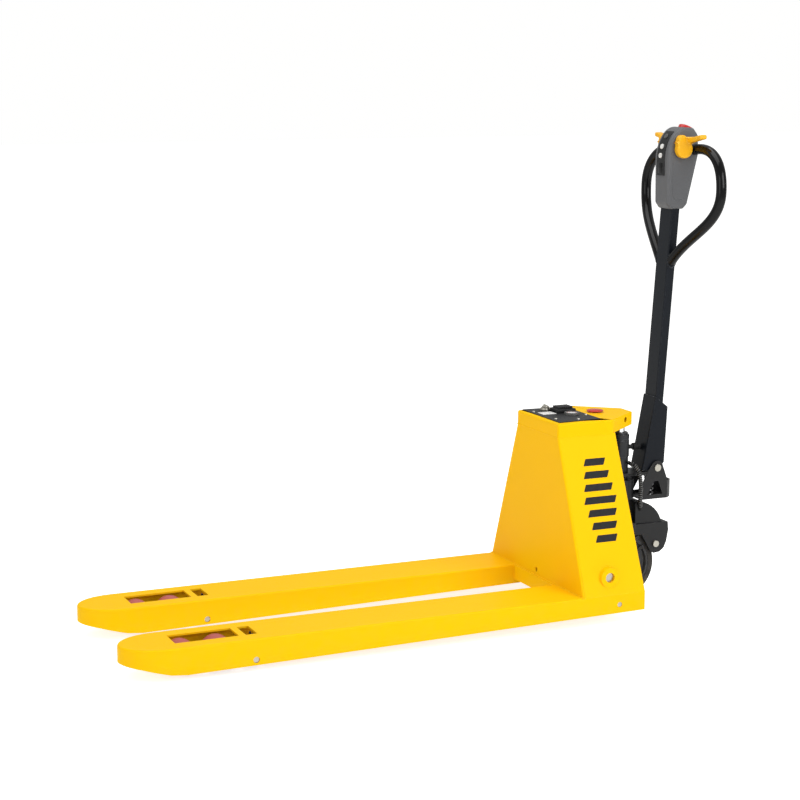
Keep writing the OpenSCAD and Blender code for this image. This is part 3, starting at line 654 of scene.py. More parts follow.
def carve(piece: Piece, *tools: Piece, operation: str = "DIFFERENCE") -> Piece:
    """Cuts tools out of a piece, or keeps or adds them, and removes the tools.

    Args:
        piece: The piece.
        *tools: The solids it is worked with.
        operation: DIFFERENCE, INTERSECT or UNION.

    Returns:
        The piece.
    """
    for tool in tools:
        apply_modifier(piece, "BOOLEAN", operation=operation, solver="EXACT", object=tool)
        bpy.data.objects.remove(tool)
    return piece


class Axis(Enum):
    """The way a turned piece points."""

    X = (0.0, math.pi / 2, 0.0)
    Y = (-math.pi / 2, 0.0, 0.0)
    Z = (0.0, 0.0, 0.0)


def bore_across(piece: Piece, spot: Vector, start: float, reach: float, radius: float) -> None:
    """Bores a round hole through a piece along the width.

    Args:
        piece: The piece.
        spot: A point on the hole's middle line.
        start: Where the hole starts along the width.
        reach: Its length.
        radius: Its radius.
    """
    drill = turn("bore", [(0, 0), (radius, 0), (radius, reach), (0, reach)],
                 (spot.x, start, spot.z), Axis.Y, 40)
    carve(piece, drill)


def turn(name: str, outline: Sequence[tuple[float, float]], centre: Sequence[float],
         axis: Axis = Axis.Z, sides: int = 48, closed: bool = False) -> Piece:
    """Models a turned piece ring by ring, as on a lathe.

    Args:
        name: The piece's name.
        outline: Points of its outline as (radius, distance along the axis).
        centre: Where distance zero stands.
        axis: The way it points.
        sides: Faces round the piece.
        closed: Whether the outline runs back to its first point, as on a ring.

    Returns:
        The piece, shaded smooth.
    """
    clear_selection()
    least = 0.00001
    radius, height = outline[0]
    radius = max(radius, least)
    bpy.ops.mesh.primitive_circle_add(vertices=sides, radius=radius, fill_type="NOTHING",
                                      location=(0, 0, height))
    piece = bpy.context.object
    piece.name = name
    settle(piece)
    activate(piece)
    bpy.ops.object.mode_set(mode="EDIT")
    bpy.ops.mesh.select_all(action="SELECT")
    stops = [*outline[1:], *(outline[:1] if closed else [])]
    for next_radius, next_height in stops:
        next_radius = max(next_radius, least)
        rise = (0, 0, next_height - height)
        bpy.ops.mesh.extrude_edges_move(TRANSFORM_OT_translate={"value": rise})
        share = next_radius / radius
        bpy.ops.transform.resize(value=(share, share, 1), center_override=(0, 0, next_height))
        radius, height = next_radius, next_height
    bpy.ops.mesh.select_all(action="SELECT")
    bpy.ops.mesh.remove_doubles(threshold=4 * least)
    bpy.ops.mesh.normals_make_consistent(inside=False)
    bpy.ops.object.mode_set(mode="OBJECT")
    piece.rotation_euler = axis.value
    piece.location = centre
    settle(piece)
    return smooth(piece, 38.0)


def tube(name: str, path: Sequence[Sequence[float]], radius: float, rings: int = 6,
         curved: bool = False) -> Piece:
    """Models a round tube along a path.

    Args:
        name: The piece's name.
        path: The points it follows.
        radius: Its radius.
        rings: Resolution round the tube.
        curved: Whether the path is smoothed between its points.

    Returns:
        The piece as a mesh.
    """
    curve = bpy.data.curves.new(name, "CURVE")
    curve.dimensions = "3D"
    curve.bevel_depth = radius
    curve.bevel_resolution = rings
    curve.use_fill_caps = True
    line = curve.splines.new("NURBS" if curved else "POLY")
    line.points.add(len(path) - 1)
    for point, spot in zip(line.points, path):
        point.co = (*spot, 1.0)
    if curved:
        line.order_u = 4
        line.use_endpoint_u = True
        line.resolution_u = 6
    piece = bpy.data.objects.new(name, curve)
    bpy.context.scene.collection.objects.link(piece)
    activate(piece)
    bpy.ops.object.convert(target="MESH")
    piece = bpy.context.object
    merge(piece)
    return smooth(piece, 40.0)


def join(name: str, pieces: Sequence[Piece]) -> Piece:
    """Joins pieces into one.

    Args:
        name: The joined piece's name.
        pieces: The pieces.

    Returns:
        The joined piece.
    """
    activate(*pieces)
    if len(pieces) > 1:
        bpy.ops.object.join()
    piece = bpy.context.view_layer.objects.active
    piece.name = name
    return piece


def bezier(handles: Sequence[Vector], share: float) -> Vector:
    """Gives the point at a share of the way along the curve between four handles."""
    rest = 1.0 - share
    weights = (rest**3, 3 * share * rest**2, 3 * share**2 * rest, share**3)
    return sum((weight * handle for weight, handle in zip(weights, handles)), Vector())


@dataclass
class Bench:
    """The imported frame, its finishes and the place of the cowl's front face."""

    frame: dict
    paint: PaintShop
    heel: float = field(init=False)
    made: int = 0

    def __post_init__(self) -> None:
        """Reads the cowl's front face from the frame."""
        self.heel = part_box("front_plate")[0].x

    def at(self, x: float, y: float, z: float) -> Vector:
        """Gives a point measured from the cowl's front face, in millimetres."""
        return Vector((x * MM + self.heel, y * MM, z * MM))

    def copy(self, node: str, name: str | None = None) -> Piece:
        """Copies a node into a clean piece."""
        return node_copy(self.frame["nodes"], node, name or f"{node}_finished")

    def hang(self, piece: Piece, body: str, slot: str, *nodes: str) -> Piece:
        """Dresses a piece and puts it on its body.

        Args:
            piece: The finished piece.
            body: The body it rides on.
            slot: The slot of its finish.
            *nodes: The nodes that it stands for.

        Returns:
            The piece.
        """
        piece.data.materials.clear()
        piece.data.materials.append(self.paint.mix(slot))
        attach(piece, body)
        if nodes:
            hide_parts(*nodes)
        self.made += 1
        log.info("%s rides on %s in %s, %d faces", piece.name, body, slot,
                 len(piece.data.polygons))
        return piece

    def dress_nodes(self) -> None:
        """Gives every node that is still shown the finish of its own slot."""
        for node, piece in self.frame["nodes"].items():
            slots = [m.name.split(".")[0] for m in piece.data.materials if m]
            for index, old in enumerate(slots):
                slot = old if old in FINISHES else "black_paint"
                piece.material_slots[index].material = self.paint.mix(slot)
            log.info("%s keeps its own shape in %s", node, slots)


# --- Sub-assemblies -----------------------------------------------------------------------


@dataclass
class Forks:
    """The two forks, folded from plate with a rounded outer edge, and their pins."""

    bench: Bench
    fold: float = 0.0055
    nose: float = 0.109
    skirt: float = 0.005
    plate: float = 0.0045
    heel_depth: float = 0.049
    tip_depth: float = 0.042
    window_half: float = 0.0355
    leg_axle: tuple[float, float] = (-897.6, 32.2)
    bogie: float = -1016.74
    plug: tuple[float, float] = (109.0, 57.0)
    pin_round: float = 0.0012

    def build(self) -> None:
        """Models both forks, the cross member and the pins."""
        for side in (-1, 1):
            self.fork(side)
        member = soften(self.bench.copy("cross_member"), 0.0015)
        self.bench.hang(member, "chassis", "yellow_paint", "cross_member")
        pins = soften(self.bench.copy("leg_pins"), self.pin_round)
        self.bench.hang(pins, "chassis", "zinc_steel", "leg_pins")
        shaft = soften(self.bench.copy("rocker_shaft"), self.pin_round)
        self.bench.hang(shaft, "chassis", "zinc_steel", "rocker_shaft")

    def _plan(self, low: Vector, high: Vector, inset: float, tail: float) -> list:
        """Gives a fork's outline from above, drawn in by an inset, up to its tail."""
        axis, half = (low.y + high.y) / 2, (high.y - low.y) / 2 - inset
        turns = [math.radians(90 + 5 * step) for step in range(37)]
        nose = [(low.x + self.nose + (self.nose - inset) * math.cos(a), axis + half * math.sin(a))
                for a in turns]
        return [(tail, axis - half), (tail, axis + half), *nose]

    def fork(self, side: int) -> None:
        """Models one fork: a solid with a rounded fold, hollowed and pierced.

        Args:
            side: 1 for the right fork, -1 for the left fork.
        """
        node = "fork_right" if side > 0 else "fork_left"
        low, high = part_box(node)
        heel, axis, top = self.bench.heel, (low.y + high.y) / 2, high.z
        piece = prism(f"{node}_finished", self._plan(low, high, 0.0, heel), low.z, top)
        with editing(piece, "EDGE") as mesh:
            for edge in mesh.edges:
                ends = [vert.co for vert in edge.verts]
                at_top = all(co.z > top - 0.0001 for co in ends)
                edge.select_set(at_top and not all(co.x > heel - 0.0001 for co in ends))
            bmesh.update_edit_mesh(piece.data)
            bpy.ops.mesh.bevel(offset=self.fold, segments=5, affect="EDGES")
        ends = [(heel - 0.002, low.y), (high.x, low.y), (high.x, high.y), (heel - 0.002, high.y)]
        carve(piece, prism("fork_heel", ends, low.z, top), operation="UNION")
        tip = low.x + self.nose
        profile = [(high.x, top + 0.001), (high.x, top - self.heel_depth), (tip + 0.040, low.z),
                   (tip, low.z + 0.004), (low.x + 0.4 * self.nose, low.z + 0.020),
                   (low.x - 0.001, top - self.tip_depth), (low.x - 0.001, top + 0.001)]
        carve(piece, prism("fork_profile", profile, low.y - 0.01, high.y + 0.01, 1),
              operation="INTERSECT")
        inside = self._plan(low, high, self.skirt, high.x + 0.001)
        carve(piece, prism("fork_hollow", inside, low.z - 0.01, top - self.plate))
        inner, outer = (-32, 18) if side > 0 else (-18, 32)
        for start, end, left, right in (
                (self.bogie - 72, self.bogie + 90, -self.window_half, self.window_half),
                (self.leg_axle[0] - 12, self.leg_axle[0] + 18,
                 -self.window_half, self.window_half),
                (38, (high.x - heel) / MM + 1, inner * MM, outer * MM)):
            a, b = self.bench.at(start, 0, 0).x, self.bench.at(end, 0, 0).x
            frame = [(a, axis + left), (b, axis + left), (b, axis + right), (a, axis + right)]
            carve(piece, prism("fork_window", frame, low.z - 0.01, top + 0.01))
        outer_skirt = axis + side * (high.y - low.y) / 2
        for (x, z), radius, reach, middle in ((self.leg_axle, 0.00805, 0.2, axis),
                                              (self.plug, 0.0070, 0.012, outer_skirt)):
            bore_across(piece, self.bench.at(x, 0, z), middle - reach / 2, reach, radius)
        near, far, behind = low.y - 0.01, high.y + 0.01, high.x + 0.01
        seat = [(heel, near), (behind, near), (behind, far), (heel, far)]
        carve(piece, prism("weld_seat", seat, top - 0.0005, top + 0.01))
        shade_cut(piece)
        self.bench.hang(piece, "chassis", "yellow_paint", node)


@dataclass
class Cowl:
    """The sheet steel cowl, folded and welded, with its rear bracket and marking."""

    bench: Bench
    fold: float = 0.006
    trim: float = 0.0008
    bars: int = 7
    bar_height: float = 0.019
    bar_pitch: float = 0.034
    bar_film: float = 0.0004
    bead: float = 0.0022
    line: float = 0.0013
    side_wall: float = 0.005
    band: float = 0.038
    band_half: float = 0.119

    def build(self) -> None:
        """Models the shell, the bracket over the column and the side markings."""
        self.shell()
        bracket = self.bench.copy("rear_bracket")
        low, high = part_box("rear_bracket")

        def rule(middle: Vector, way: Vector) -> float:
            rim = middle.z > high.z - 0.0005 and middle.x > low.x + 0.004
            tail = abs(way.z) > 0.9 and middle.x > high.x - 0.009
            outer = abs(middle.y) > 0.02 or middle.x > high.x - 0.002
            round_hole = (middle.xy - Vector((self.bench.heel + 0.176, 0.0))).length < 0.012
            return 0.6 if (rim or tail) and outer and not round_hole else self.trim / self.fold

        weigh_edges(bracket, rule)
        soften(bracket, self.fold, 3, weighted=True)
        self.bench.hang(bracket, "chassis", "yellow_paint", "rear_bracket")
        self.beads()
        for side in (-1, 1):
            self.marking(side)

    def beads(self) -> None:
        """Lays the weld along the foot of the cowl and the fold line below its upright band."""
        low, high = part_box("front_plate")
        foot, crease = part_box("fork_right")[1].z, high.z - self.band
        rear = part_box("side_plate_right")[1].x
        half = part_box("top_plate")[1].y + self.side_wall
        weld_x, fold_x, band_rear = low.x - 0.0004, low.x + 0.0006, self.bench.heel + 0.158
        weld = [tube("front_weld", [(weld_x, low.y + 0.002, foot), (weld_x, high.y - 0.002, foot)],
                     self.bead, 3)]
        fold = [tube("front_fold", [(fold_x, -half, crease), (fold_x, half, crease)],
                     self.line, 3)]
        for side in (-1, 1):
            weld_y, fold_y = side * (high.y - 0.0014), side * (half - 0.0006)
            weld.append(tube(f"side_weld_{side}", [(low.x + 0.002, weld_y, foot),
                                                   (rear - 0.004, weld_y, foot)],
                             self.bead * 0.55, 3))
            fold.append(tube(f"side_fold_{side}", [(low.x + 0.001, fold_y, crease),
                                                   (band_rear, fold_y, crease)], self.line, 3))
        self.bench.hang(join("cowl_welds", weld), "chassis", "yellow_paint")
        self.bench.hang(join("cowl_fold_lines", fold), "chassis", "yellow_paint")

    def shell(self) -> None:
        """Joins the plates into one folded shell and rounds its folds."""
        parts = ["front_plate", "side_plate_left", "side_plate_right", "top_plate"]
        shell = self.bench.copy(parts[0], "cowl_shell")
        for node in parts[1:]:
            other = self.bench.copy(node, f"{node}_blank")
            apply_modifier(shell, "BOOLEAN", operation="UNION", solver="EXACT", object=other)
            bpy.data.objects.remove(other)
        with editing(shell, "VERT"):
            bpy.ops.mesh.select_all(action="SELECT")
            bpy.ops.mesh.remove_doubles(threshold=0.00002)
            bpy.ops.mesh.dissolve_limited(angle_limit=math.radians(0.6))
        low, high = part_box("front_plate")
        front, top = low.x, high.z
        crease = top - self.band
        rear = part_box("side_plate_left")[1].x

        def rule(middle: Vector, way: Vector) -> float:
            corner = middle.x < front + 0.0005 and abs(way.z) > 0.5
            upper = middle.z > top - 0.0005 and middle.x < rear - 0.02 and self._on_rim(middle)
            return 1.0 if corner or upper else 0.0

        weigh_edges(shell, rule, 12.0)
        self._weigh_crease(shell, crease)
        soften(shell, self.fold, 4, weighted=True)
        self.bench.hang(shell, "chassis", "yellow_paint", *parts)

    def _on_rim(self, middle: Vector) -> bool:
        """Says whether a point stands on the outer rim of the cowl's top."""
        plate_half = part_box("top_plate")[1].y
        return abs(middle.y) > plate_half + 0.003 or middle.x < self.bench.heel + 0.001

    @staticmethod
    def _weigh_crease(shell: Piece, crease: float) -> None:
        """Gives the crease below the upright band a soft rounding."""
        with editing(shell, "EDGE") as mesh:
            layer = mesh.edges.layers.float.get("bevel_weight_edge")
            for edge in mesh.edges:
                middle = (edge.verts[0].co + edge.verts[1].co) / 2
                level = abs(edge.verts[0].co.z - edge.verts[1].co.z) < 1e-5
                folded = edge.calc_face_angle(0.0) > math.radians(12)
                if level and folded and abs(middle.z - crease) < 0.0006:
                    edge[layer] = 0.5
            bmesh.update_edit_mesh(shell.data)

    def marking(self, side: int) -> None:
        """Lays a column of plain slanted bars on one leaning side.

        Args:
            side: 1 for the right side, -1 for the left side.
        """
        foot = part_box("fork_right")[1].z
        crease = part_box("side_plate_right")[1].z - self.band
        top_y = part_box("front_plate")[1].y
        slope = (top_y - self.band_half) / (crease - foot)
        up = Vector((0, -side * slope, 1)).normalized()
        out = Vector((0, side, slope)).normalized()
        along = Vector((1, 0, 0)) if side < 0 else Vector((-1, 0, 0))
        origin = Vector((self.bench.heel + 0.096, side * top_y, foot)) + up * 0.150
        turn_in = Matrix((along, up, out)).transposed().to_4x4()
        bars = []
        for index in range(self.bars):
            share = index / (self.bars - 1)
            half = 0.046 - 0.016 * abs(2 * share - 1.0)
            clear_selection()
            bpy.ops.mesh.primitive_plane_add(size=1)
            bar = bpy.context.object
            bar.scale = (2 * half, self.bar_height, 1)
            settle(bar)
            with editing(bar, "VERT") as mesh:
                for vert in mesh.verts:
                    vert.co.x += 0.45 * vert.co.y
                bmesh.update_edit_mesh(bar.data)
                bpy.ops.mesh.select_all(action="SELECT")
                bpy.ops.mesh.bevel(offset=0.002, segments=3, affect="VERTICES")
                bpy.ops.mesh.select_all(action="SELECT")
                rise = (0, 0, self.bar_film)
                bpy.ops.mesh.extrude_region_move(TRANSFORM_OT_translate={"value": rise})
            bar.location = (0, index * self.bar_pitch, 0)
            settle(bar)
            bars.append(bar)
        name = "side_marking_right" if side > 0 else "side_marking_left"
        piece = join(name, bars)
        piece.matrix_world = Matrix.Translation(origin) @ turn_in
        settle(piece)
        merge(piece)
        self.bench.hang(piece, "chassis", "black_rubber")


@dataclass
class TopPanel:
    """The black panel on the cowl with its switch, gauge, connector, label and stop."""

    bench: Bench
    label_size: tuple[float, float] = (0.040, 0.034)
    label_film: float = 0.0012

    def build(self) -> None:
        """Models what stands on the panel."""
        panel = soften(self.bench.copy("top_panel"), 0.0007)
        self.bench.hang(panel, "chassis", "black_plastic", "top_panel")
        screws = soften(self.bench.copy("panel_screws"), 0.0003)
        self.bench.hang(screws, "chassis", "zinc_steel", "panel_screws")
        self.connector()
        self.gauge()
        self.label()
        self.switch()
        self.stop_button()

    def connector(self) -> None:
        """Models the ribbed connector block."""
        low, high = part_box("power_connector")
        step = low.z + 0.0095
        base = add_block("connector_base", low, (high.x, high.y, step), 0.0012)
        ribs = [base]
        inner_low, inner_high = low.x + 0.006, high.x - 0.006
        count = 7
        pitch = (inner_high - inner_low) / count
        for index in range(count):
            start = inner_low + index * pitch
            corner = (start + pitch * 0.82, high.y - 0.006, high.z)
            ribs.append(add_block(f"connector_rib_{index}", (start, low.y + 0.006, step - 0.001),
                                  corner, 0.0008, 2))
        piece = join("power_connector_block", ribs)
        self.bench.hang(piece, "chassis", "black_plastic", "power_connector")

    def gauge(self) -> None:
        """Models the round gauge: bezel, dial and segments."""
        low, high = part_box("battery_gauge")
        centre = Vector(((low.x + high.x) / 2, (low.y + high.y) / 2, low.z))
        rim, depth = (high.x - low.x) / 2, high.z - low.z
        bezel = turn("gauge_bezel", [(rim, 0), (rim, depth * 0.55), (rim - 0.0012, depth),
                                     (rim - 0.0040, depth), (rim - 0.0050, depth - 0.0012),
                                     (rim - 0.0050, 0)], centre, closed=True)
        self.bench.hang(bezel, "chassis", "motor_grey", "battery_gauge")
        dial = turn("gauge_dial", [(0, 0), (rim - 0.0052, 0), (rim - 0.0052, depth - 0.0022),
                                   (0, depth - 0.0019)], centre)
        self.bench.hang(dial, "chassis", "white_plastic")
        marks = []
        for index in range(7):
            angle = math.radians(210 - index * 40)
            spot = centre + Vector((math.cos(angle), math.sin(angle), 0)) * (rim - 0.0085)
            top = low.z + depth - 0.0015
            marks.append(add_block(f"gauge_mark_{index}",
                                   (spot.x - 0.0011, spot.y - 0.0011, top - 0.0008),
                                   (spot.x + 0.0011, spot.y + 0.0011, top), 0.0003, 1))
        self.bench.hang(join("gauge_marks", marks), "chassis", "red_plastic")

    def label(self) -> None:
        """Lays the small pale plate beside the connector."""
        panel_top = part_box("top_panel")[1].z
        middle = self.bench.at(42, 24, 0)
        half_x, half_y = self.label_size[0] / 2, self.label_size[1] / 2
        plate = add_block(
            "panel_plate", (middle.x - half_x, middle.y - half_y, panel_top - 0.0004),
            (middle.x + half_x, middle.y + half_y, panel_top + self.label_film), 0.0005, 2)
        self.bench.hang(plate, "chassis", "white_plastic")

    def switch(self) -> None:
        """Rounds the key switch and its key."""
        switch = soften(self.bench.copy("key_switch"), 0.0006)
        self.bench.hang(switch, "chassis", "zinc_steel", "key_switch")
        key = soften(self.bench.copy("key"), 0.0007)
        self.bench.hang(key, "key", "zinc_steel", "key")

    def stop_button(self) -> None:
        """Models the emergency stop: a grooved mushroom on its collar."""
        low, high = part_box("estop_button")
        rim = (high.x - low.x) / 2
        centre = Vector(((low.x + high.x) / 2, (low.y + high.y) / 2, low.z))
        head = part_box("estop_collar")[1].z - low.z + 0.0025
        top = high.z - low.z
        outline = [(0, 0), (0.007, 0), (0.007, head), (rim - 0.003, head),
                   (rim - 0.0006, head + 0.0008), (rim, head + 0.0016),
                   (rim - 0.0006, top - 0.0024), (rim - 0.0030, top - 0.0018),
                   (rim - 0.0042, top - 0.0021), (rim - 0.0054, top - 0.0013),
                   (rim - 0.0130, top - 0.0005), (0, top)]
        mushroom = turn("estop_mushroom", outline, centre, sides=64)
        self.bench.hang(mushroom, "estop", "red_plastic", "estop_button")
        collar = soften(self.bench.copy("estop_collar"), 0.0010)
        self.bench.hang(collar, "chassis", "yellow_plastic", "estop_collar")


@dataclass
class Linkage:
    """What lowers the load rollers: rocker, rods, legs, bogies and their rollers."""

    bench: Bench
    crown: float = 0.0012
    shoulder: float = 0.0045
    tread: float = 0.010

    def build(self) -> None:
        """Models the links and the rollers on both sides."""
        rocker = soften(self.bench.copy("rocker"), 0.0012)
        self.bench.hang(rocker, "rocker", "black_paint", "rocker")
        for side in ("left", "right"):
            for kind, body in (("push_rod", "rod"), ("leg", "leg"), ("bogie", "bogie")):
                node = f"{kind}_{side}"
                link = soften(self.bench.copy(node), 0.0010)
                self.bench.hang(link, f"{body}_{side}", "black_paint", node)
            for end in ("front", "rear"):
                self.roller(f"roller_{side}_{end}")

    def roller(self, node: str) -> None:
        """Models a load roller: a crowned tread on a steel hub with its bearing shields."""
        low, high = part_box(node)
        centre = (low + high) / 2
        radius, half = (high.z - low.z) / 2, (high.y - low.y) / 2
        hub = radius - self.tread
        bore = 0.01005
        crown, shoulder = self.crown, self.shoulder
        tread = turn(f"{node}_tread", [
            (hub, -half + 0.0010), (radius - shoulder, -half), (radius - 0.0022, -half + 0.0012),
            (radius - crown, -half + shoulder), (radius - 0.0002, -half * 0.45), (radius, 0),
            (radius - 0.0002, half * 0.45), (radius - crown, half - shoulder),
            (radius - 0.0022, half - 0.0012), (radius - shoulder, half), (hub, half - 0.0010)],
            centre, Axis.Y, 72, closed=True)
        self.bench.hang(tread, node, "red_polyurethane", node)
        core = turn(f"{node}_hub", [
            (bore, -half + 0.0006), (bore + 0.0030, -half + 0.0006),
            (bore + 0.0034, -half + 0.0022),
            (hub - 0.0050, -half + 0.0022), (hub - 0.0042, -half + 0.0008), (hub, -half + 0.0008),
            (hub, half - 0.0008), (hub - 0.0042, half - 0.0008), (hub - 0.0050, half - 0.0022),
            (bore + 0.0034, half - 0.0022), (bore + 0.0030, half - 0.0006), (bore, half - 0.0006)],
            centre, Axis.Y, 48, closed=True)
        self.bench.hang(core, node, "zinc_steel")


@dataclass
class DriveUnit:
    """The steering column with its yoke, drive wheel, motor, hood and tiller foot."""

    bench: Bench
    spring_turns: float = 5.5
    spring_wire: float = 0.0018
    spring_radius: float = 0.012
    wrap_pitch: float = 0.0062
    wrap_tape: float = 0.0011

    def build(self) -> None:
        """Models everything that steers."""
        plain = {"steer_column": ("column_steel", 0.0008), "gland": ("column_steel", 0.0010),
                 "drive_yoke": ("black_paint", 0.0016), "gearbox": ("cast_metal", 0.0022),
                 "traction_motor": ("motor_grey", 0.0016), "motor_hood": ("black_plastic", 0.0030),
                 "pivot_bracket": ("black_paint", 0.0008), "pivot_pins": ("zinc_steel", 0.0010),
                 "wheel_axle": ("zinc_steel", 0.0012)}
        for node, (slot, width) in plain.items():
            piece = soften(self.bench.copy(node), width)
            self.bench.hang(piece, "steering", slot, node)
        carriage = soften(self.bench.copy("carriage"), 0.0016)
        self.bench.hang(carriage, "carriage", "black_paint", "carriage")
        ram = soften(self.bench.copy("lift_ram"), 0.0008)
        self.bench.hang(ram, "chassis", "chrome", "lift_ram")
        self.wheel()
        self.spring()
        self.cable()
        self.bumper()
        self.yoke_pin()

    def wheel(self) -> None:
        """Models the drive wheel: a tyre with soft shoulders on a bolted hub."""
        low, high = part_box("drive_tyre")
        centre = (low + high) / 2
        radius, half = (high.z - low.z) / 2, (high.y - low.y) / 2
        seat = radius - 0.018
        tyre = turn("drive_wheel_tyre", [
            (seat, -half), (radius - 0.0070, -half), (radius - 0.0030, -half + 0.0012),
            (radius - 0.0010, -half + 0.0045), (radius - 0.0001, -half + 0.010), (radius, 0),
            (radius - 0.0001, half - 0.010), (radius - 0.0010, half - 0.0045),
            (radius - 0.0030, half - 0.0012), (radius - 0.0070, half), (seat, half)],
            centre, Axis.Y, 96, closed=True)
        self.bench.hang(tyre, "drive_wheel", "tyre_polyurethane", "drive_tyre")
        hub = soften(self.bench.copy("drive_hub"), 0.0012)
        self.bench.hang(hub, "drive_wheel", "cast_metal", "drive_hub")
        bolts = []
        for index in range(6):
            angle = math.radians(60 * index)
            spot = centre + Vector((math.cos(angle), 0, math.sin(angle))) * 0.046
            face = spot - Vector((0, half - 0.010, 0))
            bolts.append(turn(f"hub_bolt_{index}", [(0, 0), (0.006, 0), (0.006, -0.004),
                                                    (0.005, -0.005), (0, -0.005)],
                              face, Axis.Y, 6))
        self.bench.hang(join("hub_bolts", bolts), "drive_wheel", "zinc_steel")

    def spring(self) -> None:
        """Winds the return spring as a real coil with closed ends."""
        low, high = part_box("return_spring")
        middle = (low + high) / 2
        wire, radius = self.spring_wire, self.spring_radius
        height = high.z - low.z - 2 * wire - 0.001
        turns = self.spring_turns
        count = int(turns * 28)
        path = []
        for index in range(count + 1):
            share = index / count
            angle = 2 * math.pi * turns * share
            eased = min(1.0, max(0.0, (share * turns - 0.7) / (turns - 1.4)))
            path.append((middle.x + radius * math.cos(angle), middle.y + radius * math.sin(angle),
                         low.z + wire + 0.0005 + height * eased + 0.0004 * share))
        coil = tube("return_spring_coil", path, wire, 3)
        guide = turn("return_spring_guide",
                     [(0, 0), (radius - 0.0042, 0), (radius - 0.0042, height),
                      (radius - 0.0056, height + 0.002), (0, height + 0.002)],
                     (middle.x, middle.y, low.z))
        self.bench.hang(coil, "steering", "spring_steel", "return_spring")
        self.bench.hang(guide, "steering", "black_plastic")

    def cable(self) -> None:
        """Models the cable loom and the spiral wrap that is wound round it."""
        route = [(268, -26, 378), (278, -42, 372), (286, -52, 357), (290, -56, 336),
                 (291, -57, 314), (291, -56, 292), (293, -52, 272), (297, -46, 257),
                 (300, -41, 246)]
        spots = [self.bench.at(*spot) for spot in route]
        core = tube("cable_loom", spots, 0.0052, 4, curved=True)
        self.bench.hang(core, "steering", "black_rubber", "loom")
        lengths = [(b - a).length for a, b in zip(spots, spots[1:])]
        total = sum(lengths)
        steps = int(total / self.wrap_pitch * 14)
        path = []
        for index in range(steps + 1):
            travel = total * (0.06 + 0.88 * index / steps)
            leg = 0
            while leg < len(lengths) - 1 and travel > lengths[leg]:
                travel -= lengths[leg]
                leg += 1
            way = (spots[leg + 1] - spots[leg]).normalized()
            centre = spots[leg] + way * travel
            across = way.cross(Vector((0.1, 1, 0.1))).normalized()
            other = way.cross(across)
            angle = 2 * math.pi * index / 14
            path.append(centre + (across * math.cos(angle) + other * math.sin(angle)) * 0.0056)
        wrap = tube("cable_wrap", path, self.wrap_tape, 1)
        self.bench.hang(wrap, "steering", "motor_grey")

    def bumper(self) -> None:
        """Models the ribbed rubber stop between the column and the tiller."""
        low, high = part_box("bumper")
        centre = Vector((low.x, (low.y + high.y) / 2, (low.z + high.z) / 2))
        neck, head, long = 0.006, (high.z - low.z) / 2, high.x - low.x
        outline = [(0, 0), (neck, 0), (neck, 0.0135), (head - 0.001, 0.0142)]
        start, ribs = 0.0152, 3
        pitch = (long - start - 0.002) / ribs
        for index in range(ribs):
            foot = start + index * pitch
            outline += [(head, foot), (head, foot + pitch * 0.62),
                        (head - 0.0012, foot + pitch * 0.74), (head - 0.0012, foot + pitch * 0.9)]
        outline += [(head - 0.001, long - 0.001), (head - 0.0025, long), (0, long)]
        rubber = turn("tiller_bumper", outline, centre, Axis.X, 40)
        self.bench.hang(rubber, "steering", "black_rubber", "bumper")

    def yoke_pin(self) -> None:
        """Models the bright pin head on the yoke's rear plate."""
        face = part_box("drive_yoke")[0].y - 0.0012
        spot = self.bench.at(347, 0, 147)
        pin = turn("yoke_pin", [(0, 0.0001), (0.0088, 0.0001), (0.0094, 0.0009), (0.0094, 0.0060),
                                (0, 0.0060)], (spot.x, face, spot.z), Axis.Y, 40)
        self.bench.hang(pin, "steering", "zinc_steel")


